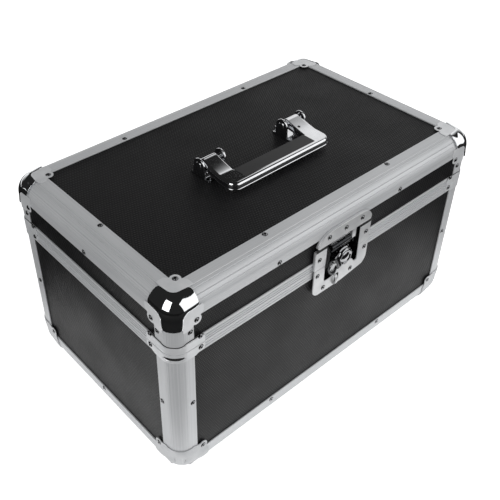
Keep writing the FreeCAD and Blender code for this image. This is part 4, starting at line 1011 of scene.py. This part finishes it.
def staple():
    """The padlock staple: a strap bent to an arch, carried along a half circle flattened at the top."""
    t = np.linspace(0, math.pi, 17)
    path = np.stack([np.zeros(17), FLOOR + 151 - 5.6 * np.cos(t), HALF_DEEP + 2.4 + 4 * np.sin(t) ** 0.6], 1)
    along = np.gradient(path, axis=0)
    along /= np.linalg.norm(along, axis=1, keepdims=True)
    across = np.array([1, 0, 0])
    section = softened(rectangle(-1.7, -0.7, 1.7, 0.7), 0.4, 2)
    rings = path[:, None] + section[:, :1] * across + section[:, 1:] * np.cross(along, across)[:, None]
    return skin((rings - [9, 0, 0]) @ FRONT)


def make_latch_body():
    """The lower plate with its window, and the deep dish behind it in painted shade, with a dark plate under
    the plate's edge as painted shadow.
    """
    half, low = 40.5, FLOOR + 142.5
    outer = chain([(-half, BODY_TOP)], arc(-half + 9, low + 9, 9, 180, 270, 8), [(2, low)],
                            arc(half - 14, low + 16, 14, -55, 0, 8), [(half, BODY_TOP)])
    sill, top = FLOOR + 156, BODY_TOP - 0.1
    window = softened([(DISH, BODY_TOP), (DISH, sill + 2), (20.5, sill + 2), (17, sill + 8),
                       (-4, sill + 8), (-12, sill), (-DISH, sill), (-DISH, BODY_TOP)],
                      [0, 1.5, 2, 2, 4, 3, 3, 0], 4)
    outline = chain(outer, window)
    plate = out_at(FACE - 1.5, FACE, 0.45, outline)
    piece("latch_lower_plate", "box", ZINC, [plate, staple()], ["latch_dish"])
    # Painted shadow: a dark plate set 1.2 mm in under the plate's edge.
    under = inward(counterclockwise(outline), 1.2)
    under[:, 1] = np.minimum(under[:, 1], top)
    back = rectangle(-DISH - SHEET, sill - SHEET, DISH + SHEET, top)
    forms = [out_at(DEEP, FACE - 0.6, 0.1, channel(top, sill)),
             out_at(DEEP, DEEP + SHEET, 0.1, back), out_at(BEHIND, FACE - 1.4, 0.1, under)]
    piece("latch_lower_tray", "box", SHADE, forms)
    # Painted shade: a black patch for the dark slot beside the staple.
    slot = softened(rectangle(-8.6, FLOOR + 145.8, -2.6, FLOOR + 156.6), 2.2)
    piece("latch_staple_slot_shade", "box", RUBBER_AND_SHADE, [out_at(FACE - 0.5, FACE + 0.12, 0.05, slot)])


def make_keeper():
    """The upper plate: side flanges, a raised strip along the top, the dish under it in painted shade, and
    lines of painted shadow under the strip's ends.
    """
    high, side = FLOOR + 204.6, 41
    forms, steps = [], []
    for sign in (-1, 1):
        flange = np.array([(DISH, LID_LOW), (side, LID_LOW), (side, high - 2.6), (DISH, high - 2.6)])
        # Painted shadow: a thin dark line under each end of the raised strip.
        step = np.array([(DISH, high - 4), (side - 0.2, high - 4), (side - 2, high), (DISH, high)])
        forms.append(out_at(BEHIND, FACE, 0.3, softened(flange * [sign, 1], [0, 0.8, 1.5, 0], 3)))
        steps.append(out_at(FACE - 0.6, FACE + 0.14, 0.05, step * [sign, 1]))
    strip = np.array([(-37, 0), (39, 0), (41, 5), (35, 13), (27, 15.5), (-22, 15.5), (-34.5, 10), (-39.5, 3)])
    strip = softened(strip + [0, high - 0.4], [1.5, 1.5, 5, 5, 6, 6, 6, 2], 5)
    forms.append(out_at(BEHIND, FACE + 0.4, 0.5, strip))
    forms.append(block((15, 4 - HALF_DEEP, FLOOR + 190), (21, -1 - HALF_DEEP, FLOOR + 204.8), 0.5))
    piece("latch_upper_plate", "lid", ZINC, forms, ["latch_keeper"])
    # Painted shade: the dish's walls, back and inner block in the dark nickel.
    inside = -DEEP - SHEET
    forms = [out_at(DEEP, FACE - 0.6, 0.1, channel(LID_LOW, high)),
             out_at(DEEP, DEEP + SHEET, 0.1, rectangle(-DISH, LID_LOW, DISH, high)),
             block((-14, inside - 3.2, PARTING + 13.5), (14, inside + 0.1, PARTING + 16.5), 0.5)]
    piece("latch_upper_tray", "lid", SHADE, forms)
    piece("latch_strip_shadow_lines", "lid", RUBBER_AND_SHADE, steps)


def on_boss(forms):
    """Forms drawn with the wing along -X, turned about the boss axis to the wing's rest."""
    c, s = math.cos(WING_TURN), math.sin(WING_TURN)
    turn = np.array([[c, 0, s], [0, 1, 0], [-s, 0, c]])
    return [(form[0] @ turn + [0, 0, PARTING], *form[1:]) for form in forms]


WING_LEVEL = HALF_DEEP + 4.7  # the wing's middle plane, from the middle of the case


def make_boss():
    """The turning boss: a waisted button with a ring round its crown, a flat for the wing and two
    lugs, which hold the wing's pin."""
    base, flat_at = HALF_DEEP + 3.2, -7.6
    profile = [(4.9, -13.1), (4.9, -0.1), (5, -0.05), (11.2, 0), (11.5, 0.3), (11.5, 1.1), (10.6, 1.8),
               (10.4, 2.7), (10, 3.7), (9.2, 4.5), (8.2, 4.8), (7.3, 4.6), (6.7, 3.9), (6.2, 3.8), (5.6, 4.3),
               (4.2, 4.9), (2.2, 5.2), (0.01, 5.3)]
    points, faces = stood(turned(np.array(profile) + [0, base], 64), (0, 0, 0), (0, -1, 0))[:2]
    flat = (np.abs(points[:, 2]) < 8.6) & (points[:, 0] < flat_at) & (-points[:, 1] > base + 0.2)
    points[flat, 0] = flat_at
    lugs = [block((-11.3, -base - 2.5, low), (-3, -base, low + 2.2), 0.4) for low in (-10.6, 8.4)]
    # Painted shade: the boss and its lugs in the darker copy of the polished nickel.
    piece("latch_button", "turn", SHADED_CHROME, on_boss([(points, faces)] + lugs), ["latch_boss"], 30)
    pin = rod(0.8, (-9.5, -WING_LEVEL, -10.6), (-9.5, -WING_LEVEL, 10.6), 0.2, 12)
    piece("latch_wing_rivet", "turn", SHADED_CHROME, on_boss([pin]), ["latch_wing_pin"])


def make_wing():
    """The folding thumb wing: a heart-shaped plate with a raised bead along its rim and a pressed
    ring near the tip. Its height over the plane is a function of the distance from the rim."""
    out, tip = 9.5, 24
    half = [(-tip, -3), (-tip + 3.2, -9.4), (-out - 9, -11.8), (-out - 5.5, -11), (-out - 3, -8), (-out, -8)]
    soft = [3, 3, 2.5, 1.5, 1, 0.3]
    rim_line = softened(half + [(u, -v) for u, v in half[::-1]], soft + soft[::-1], 4)
    steps = [(0.9, -0.9), (0.15, -0.75), (0, 0), (0.15, 0.75), (0.9, 0.9), (1.8, 0.85), (2.5, 0.35),
             (3.2, 0.25)]
    plate = skin((layers(rim_line, steps) + [0, 0, WING_LEVEL]) @ FRONT)
    eye = rod(1.4, (-out, -WING_LEVEL, -7.9), (-out, -WING_LEVEL, 7.9), 0.25, 16)
    # Painted shade: the wing plate in the dark nickel.
    piece("latch_thumb_wing", "wing", SHADE, on_boss([plate, eye]), ["latch_wing"], 30)
    ring = [(4.9, 0), (4.7, 0.55), (4.2, 0.7), (3.6, 0.55), (3.2, 0.1), (0.01, -0.05), (0.01, -0.3),
            (4.9, -0.3)]
    ring = stood(turned(ring, 28), (-tip + 7.8, -WING_LEVEL - 0.3, 0), (0, -1, 0))
    stud = stood(turned(RIVET_PROFILE, 12), (-out - 4.6, -WING_LEVEL - 0.35, 5), (0, -1, 0))
    # Painted shade: the ring and the stud in the darker copy of the polished nickel.
    piece("latch_wing_ring", "wing", SHADED_CHROME, on_boss([ring, stud]), (), 30)


def make_hook():
    """The sliding hook plate in the dish, folded over the catch bar, with two beads across it."""
    front = HALF_DEEP - 0.3
    left = softened(rectangle(-13, PARTING - 12, -5.6, PARTING + 20), 0.4, 2)
    bridge = softened(rectangle(-13, PARTING + 5.6, 13, PARTING + 15), 0.3, 2)
    forms = [out_at(front - 1.6, front, 0.3, outline) for outline in (left, left * [-1, 1], bridge)]
    forms.append(block((-15, -front, PARTING + 18.5), (15, -front + 7, PARTING + 21), 0.6))
    forms.append(block((-15, -front + 5.6, PARTING + 12.5), (15, -front + 7, PARTING + 20.5), 0.5))
    # Painted shade: the hook plate in the darker copy of the polished nickel.
    piece("latch_hook_plate", "hook", SHADED_CHROME, forms, ["latch_hook"])
    bars = [rod(radius, (-14.5, 0.4 - front, PARTING + up), (14.5, 0.4 - front, PARTING + up), 0.8)
            for radius, up in ((2.8, 14.5), (1.3, 9.6))]
    # Painted shade: the beads in the dark nickel.
    piece("latch_hook_beads", "hook", SHADE, bars)


def make_linings():
    """The soft sheets glued inside, on the floor board and on each wall board. Both front sheets
    are cut out for the latch's dish."""
    (end_x, end_y), (wall_x, wall_y), thick, notch = HALF - LEG_END, HALF - BOARD_IN, 2, 27.8
    for title, body, node, flat, low, high, edge, cut in (
            ("body_felt", "box", "body_lining", FLOOR + BOARD_IN, FLOOR + LEG_END, BODY_TOP - 8, 3,
             FLOOR + 152),
            ("lid_felt", "lid", "lid_lining", TOP - BOARD_IN - thick, LID_LOW + 5, TOP - LEG_END, 1,
             FLOOR + 208.6)):
        back, side = rectangle(-end_x, low, end_x, high), rectangle(-end_y, low, end_y, high)
        opening = [(notch, high), (notch, cut), (-notch, cut), (-notch, high)]
        if edge == 1:
            opening = [(-notch, low), (-notch, cut), (notch, cut), (notch, low)]
        forms = [block((-end_x, -end_y, flat), (end_x, end_y, flat + thick), 0.5),
                 slab(back[:edge] + opening + back[edge:], wall_y - thick, wall_y, 0.5, FRONT),
                 slab(back, -wall_y, thick - wall_y, 0.5, FRONT),
                 slab(side, -wall_x, thick - wall_x, 0.5, SIDE),
                 slab(side, wall_x - thick, wall_x, 0.5, SIDE)]
        item = piece(title, body, FELT, forms, [node])


for make in (make_edges, make_rims, make_board_shadow_lines, make_braces, make_corners, make_rivets, make_feet,
             make_hinges, make_handle, make_latch_body, make_keeper, make_boss, make_wing, make_hook,
             make_linings):
    make()
